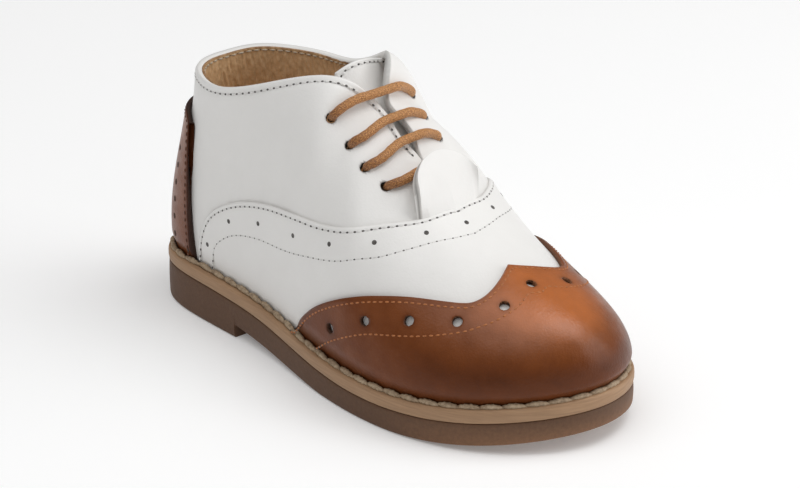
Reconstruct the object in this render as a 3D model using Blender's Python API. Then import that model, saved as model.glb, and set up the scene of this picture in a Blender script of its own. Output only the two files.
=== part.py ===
"""Toddler's ankle-high wing-tip lace-up shoe, right foot, standing empty on its sole.

White leather upper on a stitched two-layer sole, with tan wing toe cap, tan heel counter and round laces.
Tables and sizes are millimetres measured from the back of the sole, the middle line and the floor: x runs
to the toe, y to the inner (medial) side and z up. Meshes are made in metres about the middle of the sole.
"""
import bmesh
import bpy
import numpy as np
from mathutils import Matrix, Vector

for leftover in list(bpy.data.objects):
    bpy.data.objects.remove(leftover, do_unlink=True)

MM = 0.001

# Sole
SOLE_LENGTH = 150.0
BALL_HALF_WIDTH = 32.4
HEEL_HALF_WIDTH = 22.8
SOLE_POINTS = 72
HEEL_BREAST = 41.9
HEEL_STEP = 3.4
BALL_FROM = 82.0
BALL_TO = 106.0
TOE_SPRING = 4.8
MIDSOLE_THICK = 3.5
INSOLE_THICK = 2.4
GAP = 0.3
# Columns: x, y. Lateral side (negative y) from the heel to the toe, then the medial side back.
SOLE_OUTLINE = np.array([
    (0.0, 0.0),
    (7.0, -17.2),
    (25.0, -HEEL_HALF_WIDTH),
    (52.0, -25.0),
    (80.0, -30.2),
    (103.0, -BALL_HALF_WIDTH),
    (126.0, -28.0),
    (142.0, -16.6),
    (SOLE_LENGTH, 1.6),
    (144.0, 18.0),
    (126.0, 29.4),
    (102.0, BALL_HALF_WIDTH),
    (76.0, 27.8),
    (50.0, 23.6),
    (25.0, HEEL_HALF_WIDTH),
    (7.0, 17.0)])
TOE_ROW = 8
# Columns: x, height of the joint between outsole and midsole.
MIDSOLE_LINE = np.array([
    (0.0, 10.0),
    (25.0, 10.4),
    (50.0, 9.2),
    (80.0, 6.5),
    (110.0, 6.0),
    (130.0, 7.4),
    (150.0, 10.2)])

# Upper
WALL = 2.2
FEATHER_INSET = 2.9
VAMP_STEP = 0.8
TOE_SWING = -1.5
THROAT_FOOT = 0.645
RIDGE_FROM = 0.53
RIDGE_FULL = 0.60
# Columns: x, height of the middle line from the top of the tongue to the toe box.
RIDGE = np.array([
    (60.0, 78.2),
    (71.0, 69.5),
    (80.0, 62.6),
    (88.0, 56.0),
    (100.0, 46.4),
    (109.0, 41.2),
    (118.0, 37.2),
    (128.0, 33.9)])
# One row per section, from the back of the heel (share 0) round either side to the toe (share 1).
# Columns: share, top edge x, its half width, its height, extra height on the medial side, then the
# handles of the section's curve: rise and flare at the sole, shoulder and drop at the top edge.
SECTIONS = np.array([
    (0.00, 8.0, 0.0, 63.9, 0.0, 18.0, 2.0, 0.5, 18.0),
    (0.07, 10.5, 8.6, 64.0, 0.0, 18.0, 2.0, 0.5, 18.0),
    (0.15, 18.0, 15.2, 64.0, 0.0, 18.0, 2.0, 0.5, 18.0),
    (0.24, 30.0, 18.8, 64.4, 0.0, 18.0, 2.0, 1.0, 18.0),
    (0.33, 43.0, 17.2, 67.8, -1.5, 18.0, 2.2, 4.0, 16.0),
    (0.42, 57.0, 12.6, 73.0, -0.2, 18.0, 2.4, 10.0, 12.0),
    (0.47, 64.5, 8.8, 74.5, 2.1, 18.0, 2.4, 15.0, 8.0),
    (0.50, 68.6, 5.4, 73.0, 2.2, 18.0, 2.4, 18.5, 4.0),
    (0.53, 71.8, 1.7, 68.8, 0.6, 18.0, 2.4, 21.0, 1.0),
    (0.60, 80.5, 1.3, 62.2, 0.0, 17.0, 2.4, 21.5, 0.0),
    (0.67, 92.0, 0.0, 52.7, 0.0, 15.0, 2.4, 18.0, 0.0),
    (0.75, 104.0, 0.0, 44.0, 0.0, 13.0, 2.4, 16.5, 0.0),
    (0.83, 113.5, 0.0, 39.1, 0.0, 12.0, 2.4, 16.2, 0.0),
    (0.92, 122.0, 0.0, 35.8, 0.0, 11.5, 2.6, 15.8, 0.0),
    (1.00, 126.5, 0.0, 34.2, 0.0, 11.5, 2.6, 15.4, 0.0)])
# Columns: share, height on the section (0 at the sole, 1 at the top edge) of the vamp's upper edge.
SEAM = np.array([
    (0.207, 0.0),
    (0.212, 0.155),
    (0.233, 0.303),
    (0.268, 0.400),
    (0.315, 0.460),
    (0.390, 0.468),
    (0.483, 0.448),
    (0.545, 0.466),
    (0.600, 0.522),
    (0.645, 0.618),
    (0.675, 0.712),
    (0.700, 0.820),
    (0.722, 1.0)])
HEEL_COLUMNS = 8
SEAM_STEPS = 2
TOE_COLUMNS = 16
VAMP_ROWS = 9
QUARTER_ROWS = 7
INNER_ROWS = 7

# Toe cap, counter and tab
LEATHER = 1.0
OVERLAY_FOOT = 0.015
# Columns: share, height on the section of the wing-shaped edge.
WING = np.array([
    (0.445, OVERLAY_FOOT),
    (0.490, 0.123),
    (0.537, 0.210),
    (0.588, 0.280),
    (0.660, 0.388),
    (0.723, 0.490),
    (0.787, 0.575),
    (0.815, 0.625),
    (0.835, 0.695),
    (0.858, 0.820),
    (0.885, 1.0)])
WING_ROWS = 8
CAP_GAP = 0.4
BROGUE_RADIUS = 1.35
# Columns: share, height on the section of each large hole; the last one lies on the middle line.
BROGUE_HOLES = ((0.568, 0.163), (0.643, 0.273), (0.717, 0.380), (0.793, 0.483), (0.873, 0.680))
# Columns: height on the section, share of the counter's edge.
COUNTER_EDGE = np.array([
    (0.0, 0.190),
    (0.25, 0.185),
    (0.47, 0.178),
    (0.67, 0.158),
    (0.90, 0.146)])
COUNTER_TOP = 0.79
COUNTER_CORNER = 0.05
COUNTER_COLUMNS = 18
COUNTER_ROWS = 8
# Columns: share of the half width from the middle, share round the shoe of the tab's free edge.
TAB_EDGE = np.array([
    (0.0, 0.648),
    (0.4, 0.651),
    (0.7, 0.657),
    (0.9, 0.665),
    (1.0, 0.672)])
TAB_LIFT = 3.4
TAB_REACH_TOP = 0.15
TAB_REACH_FOOT = 0.20
TAB_THICK = 1.2

# Tongue and laces
TONGUE_THICK = 1.8
TONGUE_SAG = 0.031
TONGUE_TOP_ROUND = 2.6
# Columns: x, height and half width of the tongue's outer face, from its free end down to the vamp.
TONGUE = np.array([
    (64.2, 77.0, 6.6),
    (65.2, 73.4, 7.2),
    (67.0, 69.6, 8.2),
    (70.0, 66.0, 9.4),
    (78.0, 59.9, 10.5),
    (86.0, 53.3, 10.5),
    (93.0, 47.6, 10.0)])
LACE_RADIUS = 1.3
LACE_CLEAR = 0.5
EYELET_RADIUS = 1.45
# Columns: share, height on the section of each eyelet, top pair first.
LATERAL_EYELETS = ((0.510, 0.797), (0.562, 0.763), (0.603, 0.753), (0.635, 0.760))
MEDIAL_EYELETS = ((0.534, 0.823), (0.590, 0.880), (0.620, 0.863), (0.668, 0.865))
LACE_MIDDLES = (0.531, 0.581, 0.615, 0.657)

WHITE = (0.78, 0.765, 0.745)
TAN = (0.30, 0.105, 0.030)
BEIGE = (0.50, 0.36, 0.22)
BROWN = (0.165, 0.085, 0.047)
LINING = (0.36, 0.22, 0.12)
LACE_TAN = (0.40, 0.185, 0.065)


def spline(table, at):
    """Natural cubic through the rows of a table, whose first column is the knot: values and slopes."""
    knots, values = table[:, 0], table[:, 1:]
    step = np.diff(knots)
    chord = np.diff(values, axis=0) / step[:, None]
    band = np.eye(len(knots))
    load = np.zeros_like(values)
    for i in range(1, len(knots) - 1):
        band[i, i - 1:i + 2] = step[i - 1], 2 * (step[i - 1] + step[i]), step[i]
        load[i] = 6 * (chord[i] - chord[i - 1])
    bend = np.linalg.solve(band, load)
    at = np.asarray(at, float)
    i = np.clip(np.searchsorted(knots, at) - 1, 0, len(knots) - 2)
    width = step[i][:, None]
    a = (knots[i + 1] - at)[:, None] / width
    b = 1 - a
    value = a * values[i] + b * values[i + 1]
    value += ((a**3 - a) * bend[i] + (b**3 - b) * bend[i + 1]) * width**2 / 6
    slope = chord[i] + ((1 - 3 * a**2) * bend[i] + (3 * b**2 - 1) * bend[i + 1]) * width / 6
    return value, slope


def ease(x):
    """Smooth step from 0 to 1."""
    x = np.clip(x, 0, 1)
    return x * x * (3 - 2 * x)


def sample(table, steps):
    """Rows of a table with further rows splined in between, `steps` to each gap."""
    row = np.arange(len(table), dtype=float)
    fine = np.linspace(0, row[-1], steps * (len(table) - 1) + 1)
    return spline(np.column_stack([row, table]), fine)[0]


# The sole's outline as a closed spline over its chord length: rows wrap round at both ends.
WRAP = 4
WRAPPED = np.vstack([SOLE_OUTLINE[-WRAP:], SOLE_OUTLINE, SOLE_OUTLINE[:WRAP + 1]])
CHORD = np.concatenate([[0], np.cumsum(np.linalg.norm(np.diff(WRAPPED, axis=0), axis=1))])
CHORD -= CHORD[WRAP]
OUTLINE_TABLE = np.column_stack([CHORD, WRAPPED])
CHORD_TO_TOE = CHORD[WRAP + TOE_ROW]
CHORD_ROUND = CHORD[WRAP + len(SOLE_OUTLINE)]

# Section rows mirrored past the heel and the toe, so that both sides join without a crease.
BEFORE_HEEL = SECTIONS[3:0:-1] * np.array([-1, 1, -1, 1, 1, 1, 1, 1, 1])
PAST_TOE = SECTIONS[-2:-5:-1] * np.array([-1, 1, 1, 1, 1, 1, 1, 1, 1])
PAST_TOE[:, 0] += 2
SECTION_TABLE = np.vstack([BEFORE_HEEL, SECTIONS, PAST_TOE])


def outline(chord, inset):
    """Points and outward normals of the sole's outline, moved in by `inset`."""
    point, along = spline(OUTLINE_TABLE, chord)
    out = np.column_stack([along[:, 1], -along[:, 0]])
    out /= np.linalg.norm(out, axis=1)[:, None]
    return point - inset * out, out


def midsole_bottom(x):
    return spline(MIDSOLE_LINE, x)[0][:, 0]


def skin(q, t):
    """Outer face of the quarters. q is the share round the shoe, negative on the lateral side; t runs from
    0 at the sole to 1 at the top edge. Each section is a cubic curve from the feather line to the top."""
    q = np.where(q > 1, q - 2, np.where(q < -1, q + 2, q))
    share = np.abs(q)
    side = np.where(q < 0, -1.0, 1.0)
    chord = np.where(q < 0, share * CHORD_TO_TOE, CHORD_ROUND - share * (CHORD_ROUND - CHORD_TO_TOE))
    plan, out = outline(chord, FEATHER_INSET)
    foot = np.column_stack([plan, midsole_bottom(plan[:, 0]) + MIDSOLE_THICK + GAP])
    x, half, z, lift, rise, flare, shoulder, drop = spline(SECTION_TABLE, share)[0].T
    on_ridge = ease((share - RIDGE_FROM) / (RIDGE_FULL - RIDGE_FROM))
    ridge_z, ridge_slope = (column[:, 0] for column in spline(RIDGE, x))
    z = z + lift * (side > 0)
    z = z + (ridge_z - z) * on_ridge
    half = np.where(share < THROAT_FOOT, np.maximum(half, 0), 0)
    y = side * half + TOE_SWING * ease((share - 0.6) / 0.3)
    top = np.column_stack([x, y, z])
    low = foot + np.column_stack([out * flare[:, None], rise])
    fall = out[:, 0] * shoulder * ridge_slope * on_ridge - drop * (1 - on_ridge)
    high = top + np.column_stack([out * shoulder[:, None], fall])
    t = t[:, None]
    return (1 - t)**3 * foot + 3 * (1 - t)**2 * t * low + 3 * (1 - t) * t**2 * high + t**3 * top


def skin_normal(q, t):
    """Outward unit normal of the skin; on the closed middle line it follows the ridge on both sides."""
    nudge = 0.001
    along = skin(q + nudge, t) - skin(q - nudge, t)
    upward = skin(q, np.minimum(t + nudge, 1)) - skin(q, np.maximum(t - nudge, 0))
    normal = np.cross(upward, along)
    share = np.abs(q)
    slope = spline(RIDGE, spline(SECTION_TABLE, np.minimum(share, 1))[0][:, 0])[1][:, 0]
    ridge = np.column_stack([-slope, np.zeros_like(slope), np.ones_like(slope)])
    closed = (t > 1 - 1e-6) & (share >= THROAT_FOOT - 1e-6)
    normal = np.where(closed[:, None], ridge, normal)
    return normal / np.linalg.norm(normal, axis=1)[:, None]


def layer(q, t, out):
    """Skin moved out by `out` along its normal; q, t and out are arrays of one shape."""
    q, t, out = np.broadcast_arrays(np.asarray(q, float), t, out)
    flat = skin(q.ravel(), t.ravel()) + out.reshape(-1, 1) * skin_normal(q.ravel(), t.ravel())
    return flat.reshape(*q.shape, 3)


def vamp_out(share, t):
    """How far the vamp stands over the quarters: its full step, less at the sole and at the seam's start."""
    start = np.clip((share - SEAM[0, 0]) / 0.006, 0, 1)
    return VAMP_STEP * start * (0.3 + 0.7 * ease(t / 0.12))


def collection(name, cutters=False):
    found = bpy.data.collections.get(name)
    if found is None:
        found = bpy.data.collections.new(name)
        bpy.context.scene.collection.children.link(found)
        found.hide_render = cutters
    return found


def material(name, colour, roughness):
    made = bpy.data.materials.new(name)
    made.use_nodes = True
    shader = made.node_tree.nodes["Principled BSDF"]
    shader.inputs["Base Color"].default_value = (*colour, 1)
    shader.inputs["Roughness"].default_value = roughness
    shader.inputs["Metallic"].default_value = 0.0
    made.diffuse_color = (*colour, 1)
    return made


def metres(points):
    """Shoe millimetres to Blender metres about the middle of the sole's box."""
    return (np.asarray(points) - (SOLE_LENGTH / 2, 0, 0)) * MM


def add_object(name, mesh, finish):
    made = bpy.data.objects.new(name, mesh)
    collection("christening_shoe").objects.link(made)
    mesh.materials.append(finish)
    return made


def add_cutter(name, mesh):
    made = bpy.data.objects.new(name, mesh)
    collection("cutters", cutters=True).objects.link(made)
    made.display_type = "WIRE"
    made.hide_render = True
    return made


def cut(target, cutter, operation):
    boolean = target.modifiers.new(cutter.name, "BOOLEAN")
    boolean.operation = operation
    boolean.solver = "EXACT"
    boolean.object = cutter


def loft(name, patches):
    """Mesh of several point grids whose touching borders are welded."""
    work = bmesh.new()
    for patch in patches:
        rows = [[work.verts.new(point) for point in row] for row in metres(patch)]
        for lower, upper in zip(rows[:-1], rows[1:]):
            for i in range(len(lower) - 1):
                work.faces.new((lower[i], lower[i + 1], upper[i + 1], upper[i]))
    bmesh.ops.remove_doubles(work, verts=work.verts, dist=1e-6)
    bmesh.ops.recalc_face_normals(work, faces=work.faces)
    mesh = bpy.data.meshes.new(name)
    work.to_mesh(mesh)
    work.free()
    return mesh


def prism(name, profile, axis, low, high):
    """Closed prism over a profile: along z over (x, y) points, or along y over (x, z) points."""
    ends = []
    for level in (low, high):
        ends.append(np.insert(profile, axis, level, axis=1))
    work = bmesh.new()
    rings = [[work.verts.new(point) for point in metres(end)] for end in ends]
    for ring in rings:
        work.faces.new(ring)
    for i in range(len(profile)):
        work.faces.new((rings[0][i - 1], rings[0][i], rings[1][i], rings[1][i - 1]))
    bmesh.ops.recalc_face_normals(work, faces=work.faces)
    mesh = bpy.data.meshes.new(name)
    work.to_mesh(mesh)
    work.free()
    return mesh


def sole_layer(name, finish, inset, profile):
    """A layer of the sole: its outline from above, kept within its outline from the side."""
    around = np.linspace(0, CHORD_ROUND, SOLE_POINTS, endpoint=False)
    made = add_object(name, prism(name, outline(around, inset)[0], 2, -5, 40), finish)
    cut(made, add_cutter(name + "_side", prism(name + "_side", profile, 1, -50, 50)), "INTERSECT")
    return made


def band(low, high):
    """Side outline of an even layer between two heights over the midsole line."""
    x = np.linspace(-3, SOLE_LENGTH + 3, 27)
    line = midsole_bottom(x)
    bottom = np.column_stack([x, line + low])
    top = np.column_stack([x, line + high])
    return np.vstack([bottom, top[::-1]])


def outsole():
    """Heel, arch and forefoot of one rubber unit; heel and ball stand on the floor."""
    arch_x = np.linspace(HEEL_BREAST, BALL_FROM, 8)
    arch_z = HEEL_STEP * ((BALL_FROM - arch_x) / (BALL_FROM - HEEL_BREAST))**1.25
    toe_x = np.linspace(BALL_TO, SOLE_LENGTH + 3, 10)
    toe_z = TOE_SPRING * ((toe_x - BALL_TO) / (SOLE_LENGTH - BALL_TO))**2
    top_x = np.linspace(SOLE_LENGTH + 3, -3, 27)
    profile = np.vstack([
        [(-3, 0), (HEEL_BREAST, 0)],
        np.column_stack([arch_x, arch_z]),
        np.column_stack([toe_x, toe_z]),
        np.column_stack([top_x, midsole_bottom(top_x)])])
    sole_layer("outsole", material("outsole_rubber", BROWN, 0.75), 0.0, profile)


def midsole():
    """Welt layer that carries the stitched upper."""
    sole_layer("midsole", material("midsole_beige", BEIGE, 0.7), 0.0, band(GAP, MIDSOLE_THICK))


def insole():
    """Footbed inside the upper, on the midsole."""
    inset = FEATHER_INSET + WALL + 2 * GAP
    low = MIDSOLE_THICK + GAP
    sole_layer("insole", material("insole_leather", LINING, 0.8), inset, band(low, low + INSOLE_THICK))


def punches(name, places, radius):
    """Round punches through the wall at (q, t) places."""
    work = bmesh.new()
    for q, t in places:
        at = (np.array([q]), np.array([t]))
        normal = Vector(skin_normal(*at)[0])
        turn = normal.to_track_quat("Z", "Y").to_matrix().to_4x4()
        where = Matrix.Translation(Vector(metres(skin(*at)[0]))) @ turn
        bmesh.ops.create_cone(work, cap_ends=True, segments=12, radius1=radius * MM, radius2=radius * MM,
                              depth=12 * MM, matrix=where)
    mesh = bpy.data.meshes.new(name)
    work.to_mesh(mesh)
    work.free()
    return add_cutter(name, mesh)


def upper():
    """Quarters and vamp as one wall: open at the collar, the throat and underneath, with the vamp raised."""
    seam = sample(SEAM, SEAM_STEPS)
    heel = np.linspace(0, SEAM[0, 0], HEEL_COLUMNS)
    toe = np.linspace(SEAM[-1, 0], 1, TOE_COLUMNS)
    quarter_share = np.concatenate([heel[:-1], seam[:, 0]])
    quarter_low = np.concatenate([np.zeros(HEEL_COLUMNS - 1), seam[:, 1]])
    vamp_share = np.concatenate([seam[:, 0], toe[1:]])
    vamp_high = np.concatenate([seam[:, 1], np.ones(TOE_COLUMNS - 1)])
    all_share = np.concatenate([heel[:-1], seam[:, 0], toe[1:]])
    rim = np.sum(all_share < THROAT_FOOT + 1e-6)
    up_quarter = np.linspace(0, 1, QUARTER_ROWS + 1)
    up_vamp = np.linspace(0, 1, VAMP_ROWS + 1)
    up_inner = np.linspace(0, 1, INNER_ROWS + 1)
    patches = []
    for side in (-1, 1):
        t = quarter_low[:, None] + (1 - quarter_low[:, None]) * up_quarter
        quarter = layer(side * quarter_share[:, None], t, 0)
        t = vamp_high[:, None] * up_vamp
        vamp = layer(side * vamp_share[:, None], t, vamp_out(vamp_share[:, None], t))
        inner = layer(side * all_share[:, None], up_inner, -WALL)
        step = np.stack([vamp[:len(seam), -1], quarter[-len(seam):, 0]])
        outer_foot = np.concatenate([quarter[:HEEL_COLUMNS, 0], vamp[1:, 0]])
        foot = np.stack([outer_foot, inner[:, 0]])
        top = np.stack([quarter[:rim, -1], inner[:rim, -1]])
        patches += [quarter, vamp, inner, step, foot, top]
    made = add_object("upper", loft("upper", patches), material("upper_white_leather", WHITE, 0.45))
    holes = [(-share, t) for share, t in LATERAL_EYELETS] + list(MEDIAL_EYELETS)
    cut(made, punches("eyelet_punches", holes, EYELET_RADIUS), "DIFFERENCE")


def wing_toe_cap():
    """Wing-shaped toe cap laid over the vamp, with large brogue holes."""
    wing = sample(WING, 2)
    toe = np.linspace(WING[-1, 0], 1, 8)
    share = np.concatenate([wing[:, 0], toe[1:]])[:, None]
    edge_t = np.concatenate([wing[:, 1], np.ones(7)])[:, None]
    t = OVERLAY_FOOT + (edge_t - OVERLAY_FOOT) * np.linspace(0, 1, WING_ROWS + 1)
    patches = []
    for side in (-1, 1):
        under = layer(side * share, t, vamp_out(share, t) + CAP_GAP)
        over = layer(side * share, t, vamp_out(share, t) + CAP_GAP + LEATHER)
        edge = np.stack([under[:len(wing), -1], over[:len(wing), -1]])
        foot = np.stack([under[:, 0], over[:, 0]])
        patches += [under, over, edge, foot]
    made = add_object("wing_toe_cap", loft("wing_toe_cap", patches), material("cap_tan_leather", TAN, 0.4))
    holes = [(side * share, t) for side in (-1, 1) for share, t in BROGUE_HOLES] + [(1.0, 0.985)]
    cut(made, punches("brogue_punches", holes, BROGUE_RADIUS), "DIFFERENCE")


def shell(name, under, over):
    """Closed sheet between two grids of one shape."""
    borders = [np.stack([under[0], over[0]]), np.stack([under[-1], over[-1]]),
               np.stack([under[:, 0], over[:, 0]]), np.stack([under[:, -1], over[:, -1]])]
    return loft(name, [under, over] + borders)


def heel_counter():
    """Tan counter round the back of the heel, a little below the collar."""
    across = np.sin(np.linspace(-np.pi / 2, np.pi / 2, COUNTER_COLUMNS + 1))[:, None]
    corner = np.clip((np.abs(across) - 0.6) / 0.4, 0, 1)
    top = COUNTER_TOP - COUNTER_CORNER * (1 - np.sqrt(1 - corner**2))
    t = OVERLAY_FOOT + (top - OVERLAY_FOOT) * np.linspace(0, 1, COUNTER_ROWS + 1)
    edge = spline(COUNTER_EDGE, t.ravel())[0].reshape(t.shape)
    q = across * edge
    made = shell("heel_counter", layer(q, t, GAP), layer(q, t, GAP + LEATHER))
    add_object("heel_counter", made, material("counter_tan_leather", TAN, 0.45))


def throat_tab():
    """Half-round tab at the foot of the throat, tucked to the vamp's edge and lifted by the lowest lace."""
    across = np.linspace(0, 1, 6)
    down = np.linspace(0, 1, 8)[:, None]
    t = 1 - across * (TAB_REACH_TOP + (TAB_REACH_FOOT - TAB_REACH_TOP) * down)
    free = spline(TAB_EDGE, across)[0][:, 0]
    sewn = np.interp(t[-1], SEAM[:, 1], SEAM[:, 0]) - 0.005
    share = free + (sewn - free) * down
    lift = TAB_LIFT * (1 - ease((down - 0.3) / 0.7))
    faces = []
    for out in (GAP, GAP + TAB_THICK):
        lateral = layer(-share, t, lift + out)[:, ::-1]
        medial = layer(share, t, lift + out)
        middle = (lateral[:, -1:] + medial[:, :1]) / 2
        faces.append(np.concatenate([lateral[:, :-1], middle, medial[:, 1:]], axis=1))
    made = shell("throat_tab", faces[0], faces[1])
    add_object("throat_tab", made, material("tab_white_leather", WHITE, 0.45))


def tongue():
    """Tongue under the throat, from inside the vamp to a rounded end above the collar."""
    x, z, half = sample(TONGUE, 2).T
    out = np.column_stack([-np.gradient(z), np.zeros(len(x)), np.gradient(x)])
    out /= np.linalg.norm(out, axis=1)[:, None]
    across = np.linspace(-1, 1, 13)
    y = half[:, None] * across
    near_top = 1 - ease(np.linspace(0, 3, len(x)))[:, None]
    place = np.stack([x[:, None] + 0 * y, y, z[:, None] - TONGUE_TOP_ROUND * near_top * across**2], axis=2)
    faces = []
    for depth in (TONGUE_THICK, 0):
        sag = depth + TONGUE_SAG * y**2
        faces.append(place - sag[:, :, None] * out[:, None, :])
    made = shell("tongue", faces[0], faces[1])
    add_object("tongue", made, material("tongue_white_leather", WHITE, 0.5))


def lace_bar(number, lateral, middle, medial):
    """One straight run of lace over the throat, ending over its two eyelets."""
    steps = 7
    t = np.concatenate([np.linspace(lateral[1], 1, steps), np.linspace(1, medial[1], steps)])
    share = np.concatenate([np.linspace(lateral[0], middle, steps), np.linspace(middle, medial[0], steps)])
    q = np.where(np.arange(2 * steps) < steps, -share, share)
    path = layer(q, t, LACE_CLEAR + LACE_RADIUS)
    path = np.vstack([path[:steps - 1], path[steps - 1:steps + 1].mean(axis=0), path[steps + 1:]])
    name = f"lace_bar_{number}"
    curve = bpy.data.curves.new(name, "CURVE")
    curve.dimensions = "3D"
    curve.bevel_depth = LACE_RADIUS * MM
    curve.bevel_resolution = 2
    curve.use_fill_caps = True
    run = curve.splines.new("POLY")
    run.points.add(len(path) - 1)
    for point, place in zip(run.points, metres(path)):
        point.co = (*place, 1)
    add_object(name, curve, material(name + "_cord", LACE_TAN, 0.5))


outsole()
midsole()
insole()
upper()
tongue()
wing_toe_cap()
heel_counter()
throat_tab()
for number, ends in enumerate(zip(LATERAL_EYELETS, LACE_MIDDLES, MEDIAL_EYELETS), start=1):
    lace_bar(number, *ends)
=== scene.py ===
"""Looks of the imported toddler's lace-up shoe: rubber sole, stitched welt, white and tan leather, lace.

Lengths are millimetres from the back of the sole, the middle line and the floor: x runs to the toe, y to
the inner (medial) side and z up. The function in_frame turns them into the frame's metres.
"""

import bmesh
import bpy
import numpy as np
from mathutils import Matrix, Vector


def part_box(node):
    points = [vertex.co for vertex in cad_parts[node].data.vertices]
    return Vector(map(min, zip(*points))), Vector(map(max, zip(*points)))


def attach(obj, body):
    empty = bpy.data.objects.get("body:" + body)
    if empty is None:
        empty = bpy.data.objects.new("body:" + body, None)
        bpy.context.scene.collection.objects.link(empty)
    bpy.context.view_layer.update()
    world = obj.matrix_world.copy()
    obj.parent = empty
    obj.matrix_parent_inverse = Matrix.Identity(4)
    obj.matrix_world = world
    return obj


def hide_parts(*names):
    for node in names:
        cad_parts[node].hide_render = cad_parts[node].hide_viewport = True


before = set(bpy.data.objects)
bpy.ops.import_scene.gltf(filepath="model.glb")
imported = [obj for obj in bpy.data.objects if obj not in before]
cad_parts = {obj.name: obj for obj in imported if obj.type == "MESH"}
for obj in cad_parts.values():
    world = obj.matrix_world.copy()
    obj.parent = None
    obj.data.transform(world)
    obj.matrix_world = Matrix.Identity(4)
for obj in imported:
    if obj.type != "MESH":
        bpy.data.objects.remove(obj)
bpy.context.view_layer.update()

# Studio
# A white light table under a large overhead softbox, with a smaller panel over the toe that gives the cap
# its sheen and a weak one low on the inner side. The camera stands where the photo's did.
MM = 0.001
HEEL_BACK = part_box("outsole")[0].x
CAMERA_PLACE = (660.5, -529.9, 360.9)
CAMERA_AIM = (78.2, 0.8, 30.5)
LENS = 152.3
FLOOR_HALF = 4000.0
FLOOR_DROP = 0.05
WALL_LIGHT = 0.25
TABLE_GLOW = 0.17
SHARP_ANGLE = np.radians(55)
# These two are in the frame's metres.
FAR_CLIP = 20
MERGE_WITHIN = 1e-7
# Columns: x, y, z of the panel, its width, its power in watts.
PANELS = {
    "overhead": (120.0, -420.0, 1350.0, 1500.0, 9.6),
    "toe_side": (470.0, 470.0, 1200.0, 760.0, 5.4),
    "inner_side": (900.0, 700.0, 360.0, 800.0, 4.8),
}


def in_frame(points):
    """Shoe millimetres to frame metres: scaled, then moved back by the heel's place."""
    return np.asarray(points, float) * MM + (HEEL_BACK, 0, 0)


def add_node(material, kind, inputs=None, **properties):
    """A shader node with its settings; an input that is a socket is linked, any other is a plain value."""
    made = material.node_tree.nodes.new("ShaderNode" + kind)
    for key, value in properties.items():
        setattr(made, key, value)
    for key, value in (inputs or {}).items():
        if isinstance(value, bpy.types.NodeSocket):
            material.node_tree.links.new(value, made.inputs[key])
        else:
            made.inputs[key].default_value = value
    return made


def new_material(name, sockets):
    """A Principled material with its plain sockets set; gives the material and its shader."""
    made = bpy.data.materials.new(name)
    made.use_nodes = True
    shader = made.node_tree.nodes["Principled BSDF"]
    for key, value in sockets.items():
        shader.inputs[key].default_value = value
    return made, shader


def add_mesh(name, grids, material, wrap=False, flip=False, keep=None, uv=None, values=None):
    """Object of one or more point grids [..., row, column, xyz]; faces look along row direction x column
    direction. wrap joins the last column to the first, keep marks the faces to make, uv and values are
    given for each point. Points that coincide are merged, which closes seams and poles."""
    places, faces, base = [], [], 0
    for grid in grids:
        index = base + np.arange(grid[..., 0].size).reshape(grid.shape[:-1])
        if wrap:
            index = np.concatenate([index, index[..., :1]], axis=-1)
        corners = [index[..., :-1, :-1], index[..., 1:, :-1], index[..., 1:, 1:], index[..., :-1, 1:]]
        quads = np.stack(corners[::-1] if flip else corners, axis=-1)
        faces.append(quads[keep] if keep is not None else quads.reshape(-1, 4))
        places.append(in_frame(grid).reshape(-1, 3))
        base += grid[..., 0].size
    mesh = bpy.data.meshes.new(name)
    mesh.from_pydata(np.concatenate(places), [], np.concatenate(faces))
    corner_points = np.zeros(len(mesh.loops), np.int32)
    mesh.loops.foreach_get("vertex_index", corner_points)
    if uv is not None:
        mesh.uv_layers.new(name="UVMap").data.foreach_set("uv", uv.reshape(-1, 2)[corner_points].ravel())
    for key, value in (values or {}).items():
        mesh.attributes.new(key, "FLOAT", "POINT").data.foreach_set("value", np.ravel(value))
    work = bmesh.new()
    work.from_mesh(mesh)
    bmesh.ops.remove_doubles(work, verts=work.verts, dist=MERGE_WITHIN)
    bmesh.ops.delete(work, geom=[v for v in work.verts if not v.link_faces], context="VERTS")
    work.to_mesh(mesh)
    work.free()
    mesh.shade_smooth()
    mesh.set_sharp_from_angle(angle=SHARP_ANGLE)
    mesh.materials.append(material)
    made = bpy.data.objects.new(name, mesh)
    bpy.context.scene.collection.objects.link(made)
    return made


def stand(made, place):
    """Puts a panel or the camera at a place, turns it to the camera's aim and adds it to the scene."""
    made.location = in_frame(place)
    made.rotation_euler = (Vector(in_frame(CAMERA_AIM)) - made.location).to_track_quat("-Z", "Y").to_euler()
    bpy.context.scene.collection.objects.link(made)


table_white, shader = new_material("table_white", {
    "Base Color": (0.88, 0.88, 0.88, 1), "Roughness": 0.9,
    "Emission Color": (1, 1, 1, 1), "Emission Strength": TABLE_GLOW})
corner = np.array([[(-1, -1, 0), (-1, 1, 0)], [(1, -1, 0), (1, 1, 0)]], float)
add_mesh("table_top", [corner * FLOOR_HALF - (0, 0, FLOOR_DROP)], table_white)
for name, (x, y, z, width, power) in PANELS.items():
    light = bpy.data.lights.new(name, "AREA")
    light.energy = power
    light.size = width * MM
    stand(bpy.data.objects.new(name, light), (x, y, z))
walls = bpy.data.worlds.new("white_walls")
walls.use_nodes = True
walls.node_tree.nodes["Background"].inputs["Color"].default_value = (1, 1, 1, 1)
walls.node_tree.nodes["Background"].inputs["Strength"].default_value = WALL_LIGHT
bpy.context.scene.world = walls
bpy.context.scene.view_settings.view_transform = "Standard"
camera = bpy.data.objects.new("photo_camera", bpy.data.cameras.new("photo_camera"))
camera.data.lens = LENS
camera.data.clip_end = FAR_CLIP
stand(camera, CAMERA_PLACE)
bpy.context.scene.camera = camera

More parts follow.
